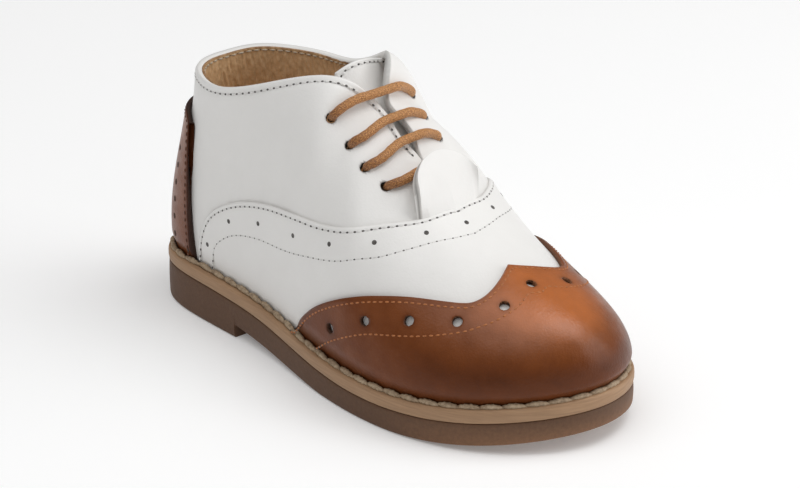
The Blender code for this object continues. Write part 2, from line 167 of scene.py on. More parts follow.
# Outsole
# One moulded rubber unit: low heel, arch and a toe that springs off the floor, with fine cross ribs
# underneath and a ground, matt side, lighter and redder low at the toe: partly wear, partly painted light.
SOLE_LENGTH = 150.0
BALL_HALF_WIDTH = 32.4
HEEL_HALF_WIDTH = 22.8
HEEL_BREAST = 41.9
HEEL_STEP = 3.4
BALL_FROM = 82.0
BALL_TO = 106.0
TOE_SPRING = 4.8
ARCH_POWER = 1.25
BREAST_EDGE = 0.03
SIDE_BULGE = 0.1
RIB_PITCH = 2.3
RIB_DEPTH = 0.24
RIB_SHARPNESS = 8
OUTSOLE_STATIONS = 560
# Columns: x, y. Lateral side (negative y) from the heel to the toe, then the medial side back.
SOLE_OUTLINE = np.array([
    (0.0, 0.0),
    (7.0, -17.2),
    (25.0, -HEEL_HALF_WIDTH),
    (52.0, -25.0),
    (80.0, -30.2),
    (103.0, -BALL_HALF_WIDTH),
    (126.0, -28.0),
    (142.0, -16.6),
    (SOLE_LENGTH, 1.6),
    (144.0, 18.0),
    (126.0, 29.4),
    (102.0, BALL_HALF_WIDTH),
    (76.0, 27.8),
    (50.0, 23.6),
    (25.0, HEEL_HALF_WIDTH),
    (7.0, 17.0)])
TOE_ROW = 8
# Columns: x, height of the joint between outsole and midsole.
MIDSOLE_LINE = np.array([
    (0.0, 10.0),
    (25.0, 10.4),
    (50.0, 9.2),
    (80.0, 6.5),
    (110.0, 6.0),
    (130.0, 7.4),
    (150.0, 10.2)])


def spline(table, at):
    """Natural cubic through a table's rows, whose first column is the knot: values and slopes."""
    knots, rows = table[:, 0], table[:, 1:]
    step = np.diff(knots)
    chord = np.diff(rows, axis=0) / step[:, None]
    band = np.diag(np.concatenate([[1], 2 * (step[:-1] + step[1:]), [1]]))
    band += np.diag(np.concatenate([step[:-1], [0]]), -1) + np.diag(np.concatenate([[0], step[1:]]), 1)
    load = np.zeros_like(rows)
    load[1:-1] = 6 * np.diff(chord, axis=0)
    bend = np.linalg.solve(band, load)
    at = np.asarray(at, float)
    i = np.clip(np.searchsorted(knots, at) - 1, 0, len(knots) - 2)
    width = step[i][:, None]
    a = (knots[i + 1] - at)[:, None] / width
    b = 1 - a
    value = a * rows[i] + b * rows[i + 1]
    value += ((a**3 - a) * bend[i] + (b**3 - b) * bend[i + 1]) * width**2 / 6
    slope = chord[i] + ((1 - 3 * a**2) * bend[i] + (3 * b**2 - 1) * bend[i + 1]) * width / 6
    return value, slope


def ease(x):
    """Smooth step: 3x^2 - 2x^3 between 0 and 1."""
    x = np.clip(x, 0, 1)
    return x * x * (3 - 2 * x)


def unit(vectors):
    """Vectors scaled to length 1."""
    return vectors / np.linalg.norm(vectors, axis=-1, keepdims=True)


def run_length(points):
    """Length of a line of points up to each of them: the sum of the steps so far."""
    return np.concatenate([[0], np.cumsum(np.linalg.norm(np.diff(points, axis=0), axis=1))])


WRAP = 4
WRAPPED = np.vstack([SOLE_OUTLINE[-WRAP:], SOLE_OUTLINE, SOLE_OUTLINE[:WRAP + 1]])
CHORD = run_length(WRAPPED)
CHORD -= CHORD[WRAP]
OUTLINE_TABLE = np.column_stack([CHORD, WRAPPED])
CHORD_TO_TOE = CHORD[WRAP + TOE_ROW]
CHORD_ROUND = CHORD[WRAP + len(SOLE_OUTLINE)]


def outline(chord, inset):
    """Points and outward normals of the sole's outline at chord lengths, moved in by an inset."""
    point, along = spline(OUTLINE_TABLE, chord)
    out = unit(np.column_stack([along[:, 1], -along[:, 0]]))
    return point - np.reshape(inset, (-1, 1)) * out, out


def midsole_bottom(x):
    """Height of the joint between outsole and midsole: the spline through its table."""
    return spline(MIDSOLE_LINE, x)[0][:, 0]


def stations(count):
    """x from heel to toe, half a cosine wave, so that steps shorten where the outline turns across."""
    return SOLE_LENGTH * (1 - np.cos(np.linspace(0, np.pi, count))) / 2


def slab(x, edge, across):
    """Closed rings of a sole layer at each x. edge lists (inset, heights) from underneath round the rim to
    the top; the two rims are joined by straight lines over and under, each in `across` steps."""
    rims = []
    for start in (0, CHORD_ROUND):
        chord = np.linspace(start, CHORD_TO_TOE, 3000)
        reach = np.maximum.accumulate(outline(chord, 0)[0][:, 0])
        here = np.interp(x, reach, chord)
        here[0], here[-1] = start, CHORD_TO_TOE
        rims.append(np.stack([np.column_stack([outline(here, d)[0], z]) for d, z in edge], axis=1))
    lateral, medial = rims
    share = np.linspace(0, 1, across + 1)[1:-1, None]
    over = lateral[:, -1:] + (medial[:, -1:] - lateral[:, -1:]) * share
    under = medial[:, :1] + (lateral[:, :1] - medial[:, :1]) * share
    return np.concatenate([over, medial[:, ::-1], under, lateral], axis=1)


def ride_root(piece, nodes=()):
    """The piece moves with the shoe's one body and stands for those nodes, which are hidden."""
    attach(piece, "root")
    if nodes:
        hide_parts(*nodes)


def paint(material, shader, tone, stops):
    """Base colour from a ramp over a tone socket; stops are (place, colour)."""
    ramp = add_node(material, "ValToRGB", {"Fac": tone})
    while len(ramp.color_ramp.elements) < len(stops):
        ramp.color_ramp.elements.new(0.5)
    for element, (place, colour) in zip(ramp.color_ramp.elements, stops):
        element.position = place
        element.color = (*colour, 1)
    material.node_tree.links.new(ramp.outputs["Color"], shader.inputs["Base Color"])


def bumps(material, shader, heights):
    """Stacked bump nodes; heights are (socket, depth in millimetres)."""
    normal = None
    for height, depth in heights:
        inputs = {"Height": height, "Distance": depth * MM, "Strength": 1.0}
        if normal:
            inputs["Normal"] = normal
        normal = add_node(material, "Bump", inputs).outputs["Normal"]
    material.node_tree.links.new(normal, shader.inputs["Normal"])


def noise(material, vector, size, detail=3.0, roughness=0.55):
    """Noise socket whose features are about `size` millimetres wide."""
    inputs = {"Vector": vector, "Scale": 1 / (size * MM), "Detail": detail, "Roughness": roughness}
    return add_node(material, "TexNoise", inputs).outputs["Fac"]


def object_place(material):
    """Socket of the piece's own coordinates, in metres."""
    return add_node(material, "TexCoord").outputs["Object"]


def scaled_sum(material, first, factor, second):
    """Socket of first x factor + second."""
    return add_node(material, "Math", {0: first, 1: factor, 2: second}, operation="MULTIPLY_ADD").outputs[0]


def ranged(material, value, low, high, to_low, to_high):
    """Socket of a value carried from low..high to another range in a straight line, held at its ends."""
    return add_node(material, "MapRange", {0: value, 1: low, 2: high, 3: to_low, 4: to_high}).outputs[0]


x = stations(OUTSOLE_STATIONS)
x = np.sort(np.concatenate([x, [HEEL_BREAST - BREAST_EDGE, HEEL_BREAST + BREAST_EDGE]]))
arch = np.clip((BALL_FROM - x) / (BALL_FROM - HEEL_BREAST), 0, 1)**ARCH_POWER
arch = HEEL_STEP * arch * (x > HEEL_BREAST)
spring = TOE_SPRING * (np.maximum(x - BALL_TO, 0) / (SOLE_LENGTH - BALL_TO))**2
rib = np.cos(np.pi * x / RIB_PITCH)**RIB_SHARPNESS
plain = arch + spring
low = plain + RIB_DEPTH * rib
high = midsole_bottom(x)
wall = [(-SIDE_BULGE * np.sin(np.pi * s), plain + 0.8 + (high - plain - 1.3) * s)
        for s in np.linspace(0, 1, 7)]
rim = [(2.4, low), (1.2, low), (0.8, plain), (0.35, plain + 0.08), (0.1, plain + 0.35)] + wall
rim += [(0.15, high - 0.15), (0.5, high)]
rubber, shader = new_material("brown_rubber", {"Roughness": 0.62, "Specular IOR Level": 0.35})
place = object_place(rubber)
axes = add_node(rubber, "SeparateXYZ", {"Vector": place}).outputs
# Lighter and redder low at the toe's end: partly wear, partly painted light falling on the toe.
toe_wear_and_light = ranged(rubber, axes["X"], 0.03, 0.075, 0.0, 0.5)
near_floor = ranged(rubber, axes["Z"], 0.009, 0.001, 0.0, 1.0)
fleck = scaled_sum(rubber, noise(rubber, place, 0.9, 5.0, 0.7), 0.35, 0.1)
paint(rubber, shader, scaled_sum(rubber, toe_wear_and_light, near_floor, fleck), [
    (0.1, (0.070, 0.034, 0.018)), (0.35, (0.132, 0.066, 0.034)), (0.75, (0.29, 0.142, 0.068))])
bumps(rubber, shader, [(noise(rubber, place, 3.0), 0.12), (noise(rubber, place, 0.35, 2.0), 0.06)])
ride_root(add_mesh("outsole_rubber", [slab(x, rim, 10)], rubber, wrap=True), ["outsole"])

# Midsole and welt thread
# A beige layer cemented on the rubber, its edge trimmed flush and its top a narrow shelf round the upper.
# A thick waxed thread of two plies sews the upper to that shelf, one long stitch lapping the next.
MIDSOLE_THICK = 3.5
MIDSOLE_ACROSS = 8
SHELF_SHADE_FROM = 1.3
SHELF_SHADE_TO = 2.2
WELT_PITCH = 5.6
WELT_LAP = 1.3
WELT_RADIUS = 0.74
WELT_SIDES = 12
# Columns: share round either side from the heel to the toe, inset of the thread from the sole's edge.
WELT_INSET = np.array([
    (0.0, 1.25),
    (0.17, 1.3),
    (0.21, 2.1),
    (0.43, 1.95),
    (0.48, 1.6),
    (1.0, 1.55)])


def turn(count):
    """Angles of even steps once round."""
    return np.linspace(0, 2 * np.pi, count, endpoint=False)


def spindle(u):
    """Thickness of a stitch along its length: the square root of half a sine wave, 0 at both ends."""
    return np.sqrt(np.sin(np.pi * u))


def tubes(path, up, wide, tall, sides):
    """Rings round paths [..., point, xyz]: each ring is an ellipse of half sizes wide and tall in the plane
    across the path, with tall along the up direction."""
    run = unit(np.gradient(path, axis=-2))
    side = unit(np.cross(run, up))
    lift = np.cross(side, run)
    angle = turn(sides) - np.pi / 2
    wide = np.broadcast_to(wide, (*path.shape[:-1], sides))[..., None]
    tall = np.broadcast_to(tall, (*path.shape[:-1], sides))[..., None]
    ring = side[..., None, :] * np.cos(angle)[:, None] * wide
    return path[..., None, :] + ring + lift[..., None, :] * np.sin(angle)[:, None] * tall


def from_mesh(material, name):
    """Socket of a value that the mesh holds for each point."""
    return add_node(material, "Attribute", attribute_name=name).outputs["Fac"]


x = stations(320)
low = midsole_bottom(x) + 0.1
high = midsole_bottom(x) + MIDSOLE_THICK
rim = [(1.0, low), (0.1, low), (-0.05, low + 0.2), (-0.2, low + 1.0), (-0.22, low + 1.9)]
rim += [(-0.15, high - 0.7), (-0.02, high - 0.3), (0.16, high - 0.1), (0.45, high), (1.0, high + 0.02)]
rim += [(1.4, high - 0.1), (2.4, high - 0.2), (4.5, high - 0.2)]
rings = slab(x, rim, MIDSOLE_ACROSS)
inset = np.array([d for d, z in rim])
middle = np.full(MIDSOLE_ACROSS - 1, 9.0)
inset = np.concatenate([middle, inset[::-1], middle, inset])
beige, shader = new_material("beige_midsole", {"Roughness": 0.55, "Specular IOR Level": 0.4})
place = object_place(beige)
layered = add_node(beige, "Mapping", {"Vector": place, "Scale": (0.05, 0.05, 1.0)}).outputs["Vector"]
lines = noise(beige, layered, 0.5, 3.0, 0.6)
# Painted shade: the shelf darkens toward the upper, in the groove beside it.
groove_shade = ranged(beige, from_mesh(beige, "inset"), SHELF_SHADE_FROM, SHELF_SHADE_TO, 0.4, -0.2)
paint(beige, shader, scaled_sum(beige, lines, 0.4, groove_shade), [
    (0.0, (0.040, 0.021, 0.011)), (0.35, (0.19, 0.107, 0.055)), (0.62, (0.37, 0.222, 0.122)),
    (0.85, (0.48, 0.305, 0.175))])
bumps(beige, shader, [(lines, 0.05), (noise(beige, place, 0.6), 0.04)])
midsole_band = add_mesh("midsole_band", [rings], beige, wrap=True,
                        values={"inset": np.broadcast_to(inset, rings.shape[:2])})
ride_root(midsole_band, ["midsole"])

count = int(round(CHORD_ROUND / WELT_PITCH))
step = CHORD_ROUND / count
u = np.linspace(0, 1, 15)
chord = (np.arange(count)[:, None] * step + (u - 0.5) * step * WELT_LAP) % CHORD_ROUND
share = np.where(chord < CHORD_TO_TOE, chord / CHORD_TO_TOE,
                 (CHORD_ROUND - chord) / (CHORD_ROUND - CHORD_TO_TOE))
inset = np.interp(share, *WELT_INSET.T) - 0.5 * (u - 0.5) - 0.3 * np.sin(np.pi * u)
plan = outline(chord.ravel(), inset.ravel())[0].reshape(*chord.shape, 2)
height = midsole_bottom(plan[..., 0].ravel()).reshape(chord.shape) + MIDSOLE_THICK
path = np.concatenate([plan, (height + 0.05 + 0.5 * np.sin(np.pi * u))[..., None]], axis=-1)
twist = 1 + 0.16 * np.cos(2 * (turn(WELT_SIDES) + 5.0 * np.pi * u[:, None]))
thick = WELT_RADIUS * spindle(u)[:, None] * twist
rings = tubes(path, np.array([0, 0, 1.0]), thick, thick, WELT_SIDES)
waxed, shader = new_material("waxed_welt_thread", {"Roughness": 0.6})
place = object_place(waxed)
paint(waxed, shader, noise(waxed, place, 1.2, 4.0, 0.7), [
    (0.3, (0.17, 0.11, 0.065)), (0.5, (0.36, 0.26, 0.165)), (0.75, (0.52, 0.41, 0.28))])
bumps(waxed, shader, [(noise(waxed, place, 0.25), 0.08)])
ride_root(add_mesh("welt_thread", [rings], waxed, wrap=True))

# Footbed
# A tan leather sock glued over the insole board inside the upper, its edge softly rounded. It is a little
# darker under the heel.
INSOLE_INSET = 5.7
INSOLE_LOW = 3.8
INSOLE_THICK = 2.4
HEEL_DARK_PLACE = 28
HEEL_DARK_REACH = 15


def leather(name, stops, rough, coat, pore, creep, gleam=0.42):
    """Grain leather: a ramp over the piece's shade plus soft mottling, its lighter parts polished more, up
    to `gleam`. The bump is of fine pores (depth `pore`, millimetres) on slow unevenness (depth `creep`)."""
    made, shader = new_material(name, {"Coat Weight": coat, "Coat Roughness": 0.22})
    place = object_place(made)
    tone = scaled_sum(made, noise(made, place, 7.0, 5.0, 0.62), 0.3, from_mesh(made, "shade"))
    paint(made, shader, tone, stops)
    polish = ranged(made, tone, 0.4, 0.85, 0.3 * gleam, gleam)
    made.node_tree.links.new(polish, shader.inputs["Specular IOR Level"])
    gloss = ranged(made, noise(made, place, 2.5), 0.3, 0.7, rough - 0.05, rough + 0.07)
    made.node_tree.links.new(gloss, shader.inputs["Roughness"])
    cells = add_node(made, "TexVoronoi", {"Vector": place, "Scale": 1600.0}).outputs["Distance"]
    fine = noise(made, place, 0.3, 2.0)
    bumps(made, shader, [(noise(made, place, 5.0, 2.0), creep), (cells, pore), (fine, pore)])
    return made


LINING_STOPS = [(0.0, (0.25, 0.130, 0.056)), (0.5, (0.74, 0.48, 0.255)), (1.0, (0.92, 0.69, 0.43))]
lining_leather = leather("lining_leather", LINING_STOPS, 0.6, 0.0, 0.06, 0.25)
x = stations(150)
low = midsole_bottom(x) + INSOLE_LOW
high = low + INSOLE_THICK
rim = [(INSOLE_INSET, low), (INSOLE_INSET, high - 0.4), (INSOLE_INSET + 0.3, high - 0.1)]
rim += [(INSOLE_INSET + 1, high), (INSOLE_INSET + 3, high)]
rings = slab(x, rim, 24)
from_wear = (rings[..., 0] - HEEL_DARK_PLACE)**2 + rings[..., 1]**2
heel_darker = 0.42 - 0.16 * np.exp(-from_wear / HEEL_DARK_REACH**2)
footbed = add_mesh("footbed", [rings], lining_leather, wrap=True, values={"shade": heel_darker})
ride_root(footbed, ["insole"])

# Quarters
# White calf in one wall from the heel forward, open at the collar and down the throat, punched for the
# lace and sewn along its top edge. The cut edge is left raw and pale grey, and stands up on the throat's
# inner side.
FEATHER_INSET = 2.9
GAP = 0.3
TOE_SWING = -1.5
TOE_SWING_FROM = 0.6
TOE_SWING_TO = 0.9
THROAT_FOOT = 0.645
THROAT_CLOSES_OVER = 0.04
RIDGE_FROM = 0.53
RIDGE_FULL = 0.60
EYELET_RADIUS = 1.32
QUARTER_THICK = 2.0
QUARTER_ROWS = 66
UPPER_FOOT = -0.008
SEAM_TUCK = 0.05
# Columns: x, height of the middle line from the top of the tongue to the toe box.
RIDGE = np.array([
    (60.0, 78.2),
    (71.0, 69.5),
    (80.0, 62.6),
    (88.0, 56.0),
    (100.0, 46.4),
    (109.0, 41.2),
    (118.0, 37.2),
    (128.0, 33.9)])
# One row per section, from the back of the heel (share 0) round either side to the toe (share 1).
# Columns: share, top edge x, its half width, its height, extra height on the medial side, then the
# handles of the section's curve: rise and flare at the sole, shoulder and drop at the top edge.
SECTIONS = np.array([
    (0.00, 8.0, 0.0, 63.9, 0.0, 18.0, 2.0, 0.5, 18.0),
    (0.07, 10.5, 8.6, 64.0, 0.65, 18.0, 2.0, 0.5, 18.0),
    (0.15, 18.0, 15.2, 64.0, 1.0, 18.0, 2.0, 0.5, 18.0),
    (0.24, 30.0, 18.8, 64.7, 0.6, 18.0, 2.0, 1.0, 18.0),
    (0.33, 43.0, 17.2, 68.2, -1.0, 18.0, 2.2, 4.0, 16.0),
    (0.42, 57.0, 12.6, 73.3, 0.1, 18.0, 2.4, 10.0, 12.0),
    (0.47, 64.5, 8.8, 74.5, 2.1, 18.0, 2.4, 15.0, 8.0),
    (0.50, 68.6, 5.4, 73.0, 2.2, 18.0, 2.4, 18.5, 4.0),
    (0.53, 71.8, 1.7, 68.8, 0.6, 18.0, 2.4, 21.0, 1.0),
    (0.60, 80.5, 1.3, 62.2, 0.0, 17.0, 2.4, 21.5, 0.0),
    (0.67, 92.0, 0.0, 52.7, 0.0, 15.0, 2.4, 18.0, 0.0),
    (0.75, 104.0, 0.0, 44.0, 0.0, 13.0, 2.4, 16.5, 0.0),
    (0.83, 113.5, 0.0, 39.1, 0.0, 12.0, 2.4, 16.2, 0.0),
    (0.92, 122.0, 0.0, 35.8, 0.0, 11.5, 2.6, 15.8, 0.0),
    (1.00, 126.5, 0.0, 34.2, 0.0, 11.5, 2.6, 15.4, 0.0)])
# Columns: share, height on the section (0 at the sole, 1 at the top edge) of the vamp's upper edge.
SEAM = np.array([
    (0.196, 0.0),
    (0.2065, 0.150),
    (0.228, 0.290),
    (0.264, 0.382),
    (0.313, 0.438),
    (0.388, 0.455),
    (0.483, 0.446),
    (0.545, 0.466),
    (0.600, 0.522),
    (0.645, 0.626),
    (0.674, 0.722),
    (0.698, 0.832),
    (0.718, 1.0)])
# Columns: share, height on the section of each eyelet, top pair first.
LATERAL_EYELETS = ((0.510, 0.797), (0.562, 0.763), (0.603, 0.753), (0.635, 0.760))
MEDIAL_EYELETS = ((0.527, 0.823), (0.590, 0.880), (0.620, 0.863), (0.668, 0.865))
COLLAR_SETBACK = 1.85
COLLAR_SUNK = -0.10
COLLAR_ROW_SHORT = 0.012
COLLAR_POINTS = 24
POINTS_TO_CORNER = 17
THROAT_PROUD = 1.0
THROAT_LOW = 0.3
CORNER_SHARE = 0.46
# Columns: share and height where a soft crease starts and ends, its half width and depth in millimetres.
QUARTER_CREASES = (
    (0.30, 0.56, 0.44, 0.50, 4.5, 0.55),
    (0.36, 0.78, 0.46, 0.60, 7.0, 0.25),
    (0.26, 0.50, 0.28, 0.80, 5.0, 0.30))
# The mean under the collar's corner: where it starts and stops, over what share it fades, how high it goes.
CORNER_FROM = 0.38
CORNER_TO = 0.64
CORNER_FADE = 0.08
CORNER_TOP = 0.92
# Columns: step in share to a neighbouring section, its weight.
CORNER_MEAN = ((-0.034, 1 / 9), (-0.017, 2 / 9), (0.0, 3 / 9), (0.017, 2 / 9), (0.034, 1 / 9))
BEFORE_HEEL = SECTIONS[3:0:-1] * np.array([-1, 1, -1, 1, 1, 1, 1, 1, 1])
PAST_TOE = SECTIONS[-2:-5:-1] * np.array([-1, 1, 1, 1, 1, 1, 1, 1, 1])
PAST_TOE[:, 0] += 2
SECTION_TABLE = np.vstack([BEFORE_HEEL, SECTIONS, PAST_TOE])


def round_toe(q):
    """Share round the shoe brought back between -1 and 1 after passing the toe."""
    return np.where(q > 1, q - 2, np.where(q < -1, q + 2, q))


def section(q, t):
    """Point of one section. q is the share round the shoe, negative on the lateral side; t runs from 0 at
    the sole to 1 at the top edge. Each section is a cubic curve from the feather line to the top."""
    q = round_toe(q)
    share = np.abs(q)
    side = np.where(q < 0, -1.0, 1.0)
    chord = np.where(q < 0, share * CHORD_TO_TOE, CHORD_ROUND - share * (CHORD_ROUND - CHORD_TO_TOE))
    plan, out = outline(chord, FEATHER_INSET)
    foot = np.column_stack([plan, midsole_bottom(plan[:, 0]) + MIDSOLE_THICK + GAP])
    x, half, z, lift, rise, flare, shoulder, drop = spline(SECTION_TABLE, share)[0].T
    on_ridge = ease((share - RIDGE_FROM) / (RIDGE_FULL - RIDGE_FROM))
    ridge_z, ridge_slope = (column[:, 0] for column in spline(RIDGE, x))
    z = z + lift * (side > 0)
    z = z + (ridge_z - z) * on_ridge
    half = np.maximum(half, 0) * ease((THROAT_FOOT - share) / THROAT_CLOSES_OVER)
    y = side * half + TOE_SWING * ease((share - TOE_SWING_FROM) / (TOE_SWING_TO - TOE_SWING_FROM))
    top = np.column_stack([x, y, z])
    low = foot + np.column_stack([out * flare[:, None], rise])
    fall = out[:, 0] * shoulder * ridge_slope * on_ridge - drop * (1 - on_ridge)
    high = top + np.column_stack([out * shoulder[:, None], fall])
    t = t[:, None]
    return (1 - t)**3 * foot + 3 * (1 - t)**2 * t * low + 3 * (1 - t) * t**2 * high + t**3 * top


def skin(q, t):
    """Outer face of the quarters: the section's point, and under the collar's corner a weighted mean of
    five neighbouring sections, so that the corner's bend fades out below it."""
    own = section(q, t)
    mean = sum(weight * section(q + step, t) for step, weight in CORNER_MEAN)
    share = np.abs(round_toe(q))
    part = ease((share - CORNER_FROM) / CORNER_FADE) * ease((CORNER_TO - share) / CORNER_FADE)
    part = part * ease((CORNER_TOP - t) / 0.35)
    return own + part[:, None] * (mean - own)


def skin_normal(q, t):
    """Outward unit normal of the skin; on the closed middle line it follows the ridge on both sides."""
    nudge = 0.001
    q = round_toe(q)
    along = skin(q + nudge, t) - skin(q - nudge, t)
    upward = skin(q, np.minimum(t + nudge, 1)) - skin(q, np.minimum(t, 1) - nudge)
    normal = np.cross(upward, along)
    share = np.abs(q)
    slope = spline(RIDGE, spline(SECTION_TABLE, share)[0][:, 0])[1][:, 0]
    ridge = np.column_stack([-slope, np.zeros_like(slope), np.ones_like(slope)])
    closed = (t > 1 - 1e-6) & (share >= THROAT_FOOT - 1e-6)
    normal = np.where(closed[:, None], ridge, normal)
    return unit(normal)


def layer(q, t, out):
    """Skin moved out by `out` along its normal; q, t and out are arrays of one shape."""
    q, t, out = np.broadcast_arrays(np.asarray(q, float), t, out)
    flat = skin(q.ravel(), t.ravel()) + out.reshape(-1, 1) * skin_normal(q.ravel(), t.ravel())
    return flat.reshape(*q.shape, 3)


def sample(table, steps):
    """Rows of a table with further rows splined in between, `steps` to each gap."""
    row = np.arange(len(table), dtype=float)
    fine = np.linspace(0, row[-1], steps * (len(table) - 1) + 1)
    return spline(np.column_stack([row, table]), fine)[0]


def nearest(points, path):
    """Distance from each point of a grid to the nearest point of a path."""
    flat = points.reshape(-1, 3)
    blocks = np.array_split(flat, 1 + len(flat) // 4000)
    least = [((b**2).sum(1)[:, None] + (path**2).sum(1) - 2 * b @ path.T).min(1) for b in blocks]
    return np.sqrt(np.maximum(np.concatenate(least), 0)).reshape(points.shape[:-1])


def rolled_edge(distance, radius, drop):
    """Fall of a cut edge: a smooth step over `radius`, `drop` deep at the edge itself and level there."""
    return -drop * ease(1 - distance / radius)


def trough(distance, width, depth):
    """Soft furrow: a bell curve of that half width and depth."""
    return -depth * np.exp(-(distance / width)**2)


def darkened(distance, width, depth):
    """Darkening beside an edge or a hole: `depth` right at it, dying away to a third over `width`."""
    return -depth * np.exp(-np.maximum(distance, 0) / width)


def line_points(line):
    """Points of a (share, t) line on both sides of the shoe."""
    return np.concatenate([layer(side * line[:, 0], line[:, 1], 0) for side in (-1, 1)])


def creases(points, table):
    """Sum of troughs along straight lines in share and height, the same on both sides of the shoe."""
    total = np.zeros(points.shape[:-1])
    s = np.linspace(0, 1, 40)
    for share_a, t_a, share_b, t_b, width, depth in table:
        for side in (-1, 1):
            line = layer(side * (share_a + (share_b - share_a) * s), t_a + (t_b - t_a) * s, 0)
            total += trough(nearest(points, line), width, depth)
    return total


def closing(count, power):
    """Column of steps from 0 to 1 that shorten towards 1: 1 - (1 - u)^power."""
    return 1 - (1 - np.linspace(0, 1, count)[:, None])**power


def punch(grid, centres, radius):
    """Opens round holes in a grid: points inside a hole are pushed out to its rim. Faces whose four corners
    lay inside, and those the push has squeezed flat, are left out. Gives the grid and the faces to keep."""
    before = np.cross(grid[1:, 1:] - grid[:-1, :-1], grid[:-1, 1:] - grid[1:, :-1])
    gone = np.zeros(before.shape[:2], bool)
    for centre in centres:
        arm = grid - centre
        length = np.linalg.norm(arm, axis=-1)
        inside = length < radius
        pushed = centre + arm * (radius / np.maximum(length, 1e-6))[..., None]
        grid = np.where(inside[..., None], pushed, grid)
        gone |= inside[:-1, :-1] & inside[1:, :-1] & inside[1:, 1:] & inside[:-1, 1:]
    after = np.cross(grid[1:, 1:] - grid[:-1, :-1], grid[:-1, 1:] - grid[1:, :-1])
    least_left = 0.15
    return grid, ~gone & ((before * after).sum(-1) >= least_left * (before**2).sum(-1))


def panel(name, grid, shade, finish, thickness, edge, nodes=(), keep=None, flip=False):
    """A sheet of leather: a grid of points and their shade, made thick inwards along its normals, with a
    finish of its own on the cut edge."""
    made = add_mesh(name, [grid], finish, flip=flip, keep=keep, values={"shade": shade})
    made.data.materials.append(edge)
    solid = made.modifiers.new("leather_thickness", "SOLIDIFY")
    solid.thickness = thickness * MM
    solid.offset = -1
    solid.material_offset_rim = 1
    ride_root(made, nodes)


def row_path(table, side, out, setback=0.0):
    """Points and normals of a stitch row on one side of the shoe. The table's (share, t) line is moved in
    over the skin, square to itself, by the setback: the skin's two tangents are solved for that step."""
    share, t = sample(table, 30).T
    q = side * share
    nudge = 0.001
    across = (skin(q + nudge, t) - skin(q - nudge, t)) / (2 * nudge)
    upward = (skin(q, t) - skin(q, t - nudge)) / nudge
    along = np.gradient(skin(q, t), axis=0)
    inward = -side * setback * unit(np.cross(along, skin_normal(q, t)))
    aa, ab, bb = [(m * n).sum(1) for m, n in ((across, across), (across, upward), (upward, upward))]
    ra, rb = (across * inward).sum(1), (upward * inward).sum(1)
    q = q + (bb * ra - ab * rb) / (aa * bb - ab**2)
    t = np.clip(t + (aa * rb - ab * ra) / (aa * bb - ab**2), 0.01, 1)
    return layer(q, t, out), skin_normal(q, t)


def at_lengths(even, run, rows):
    """Rows of values along a line, read off at even lengths in straight steps between them."""
    return np.column_stack([np.interp(even, run, column) for column in rows.T])


def needle_points(points, normals, pitch):
    """Even steps along a row: where the needle went through, and the normals there."""
    run = run_length(points)
    even = np.linspace(0, run[-1], int(round(run[-1] / pitch)) + 1)
    both = at_lengths(even, run, np.column_stack([points, normals]))
    return both[:, :3], unit(both[:, 3:])


def sewn_line(rows):
    """Points of all the stitch rows together."""
    return np.concatenate([points for points, normals in rows])


def sew(name, rows, thread, pitch=2.1, radius=0.24, hole=(0.40, 0.26)):
    """Stitches and needle holes along rows of (points, normals). A stitch is a small tube that rises out of
    one hole and dips into the next; a hole is an oval dimple of painted shade lying on the leather."""
    u = np.linspace(0, 1, 8)
    thick = radius * spindle(u)[:, None]
    sunk, start, reach = 0.10, 0.13, 0.74
    stitch_rings, hole_rings = [], []
    for points, normals in rows:
        at, up = needle_points(points, normals, pitch)
        along_stitch = np.diff(at, axis=0)[:, None] * (start + reach * u[:, None])
        path = at[:-1, None] + along_stitch + up[:-1, None] * (0.85 * thick - sunk)
        stitch_rings.append(tubes(path, up[:-1, None], thick, thick * 0.8, 6))
        along = unit(np.gradient(at, axis=0))
        across = np.cross(up, along)
        angle = turn(10)[:, None]
        oval = along[:, None] * hole[0] * np.cos(angle) + across[:, None] * hole[1] * np.sin(angle)
        middle = at[:, None] + up[:, None] * 0.05
        hole_rings.append(np.stack([middle + oval - up[:, None] * 0.1, middle + oval * 0.8,
                                    middle + oval * 0.0], axis=1))
    ride_root(add_mesh(name, [np.concatenate(stitch_rings)], thread, wrap=True))
    ride_root(add_mesh(name + "_holes", [np.concatenate(hole_rings)], needle_hole_shade, wrap=True))


def spun_thread(name, dark, light, rough=0.6, sheen=0.0, fleck=0.5):
    """Spun thread: flecks about `fleck` millimetres wide between two colours, on a bump of fine fibre."""
    made, shader = new_material(name, {"Roughness": rough, "Sheen Weight": sheen})
    place = object_place(made)
    paint(made, shader, noise(made, place, fleck, 4.0), [(0.3, dark), (0.7, light)])
    bumps(made, shader, [(noise(made, place, 0.15), 0.06)])
    return made


def raw_cut(name, fuzz, depth, stops):
    """Cut leather: a ramp over the piece's shade plus fine fibre. fuzz gives the bump's noise (size, detail
    and roughness) and depth how high it stands, in millimetres."""
    made, shader = new_material(name, {"Roughness": 0.85})
    place = object_place(made)
    fibre = noise(made, place, 0.5, 4.0, 0.7)
    paint(made, shader, scaled_sum(made, fibre, 0.3, from_mesh(made, "shade")), stops)
    bumps(made, shader, [(noise(made, place, *fuzz), depth)])
    return made


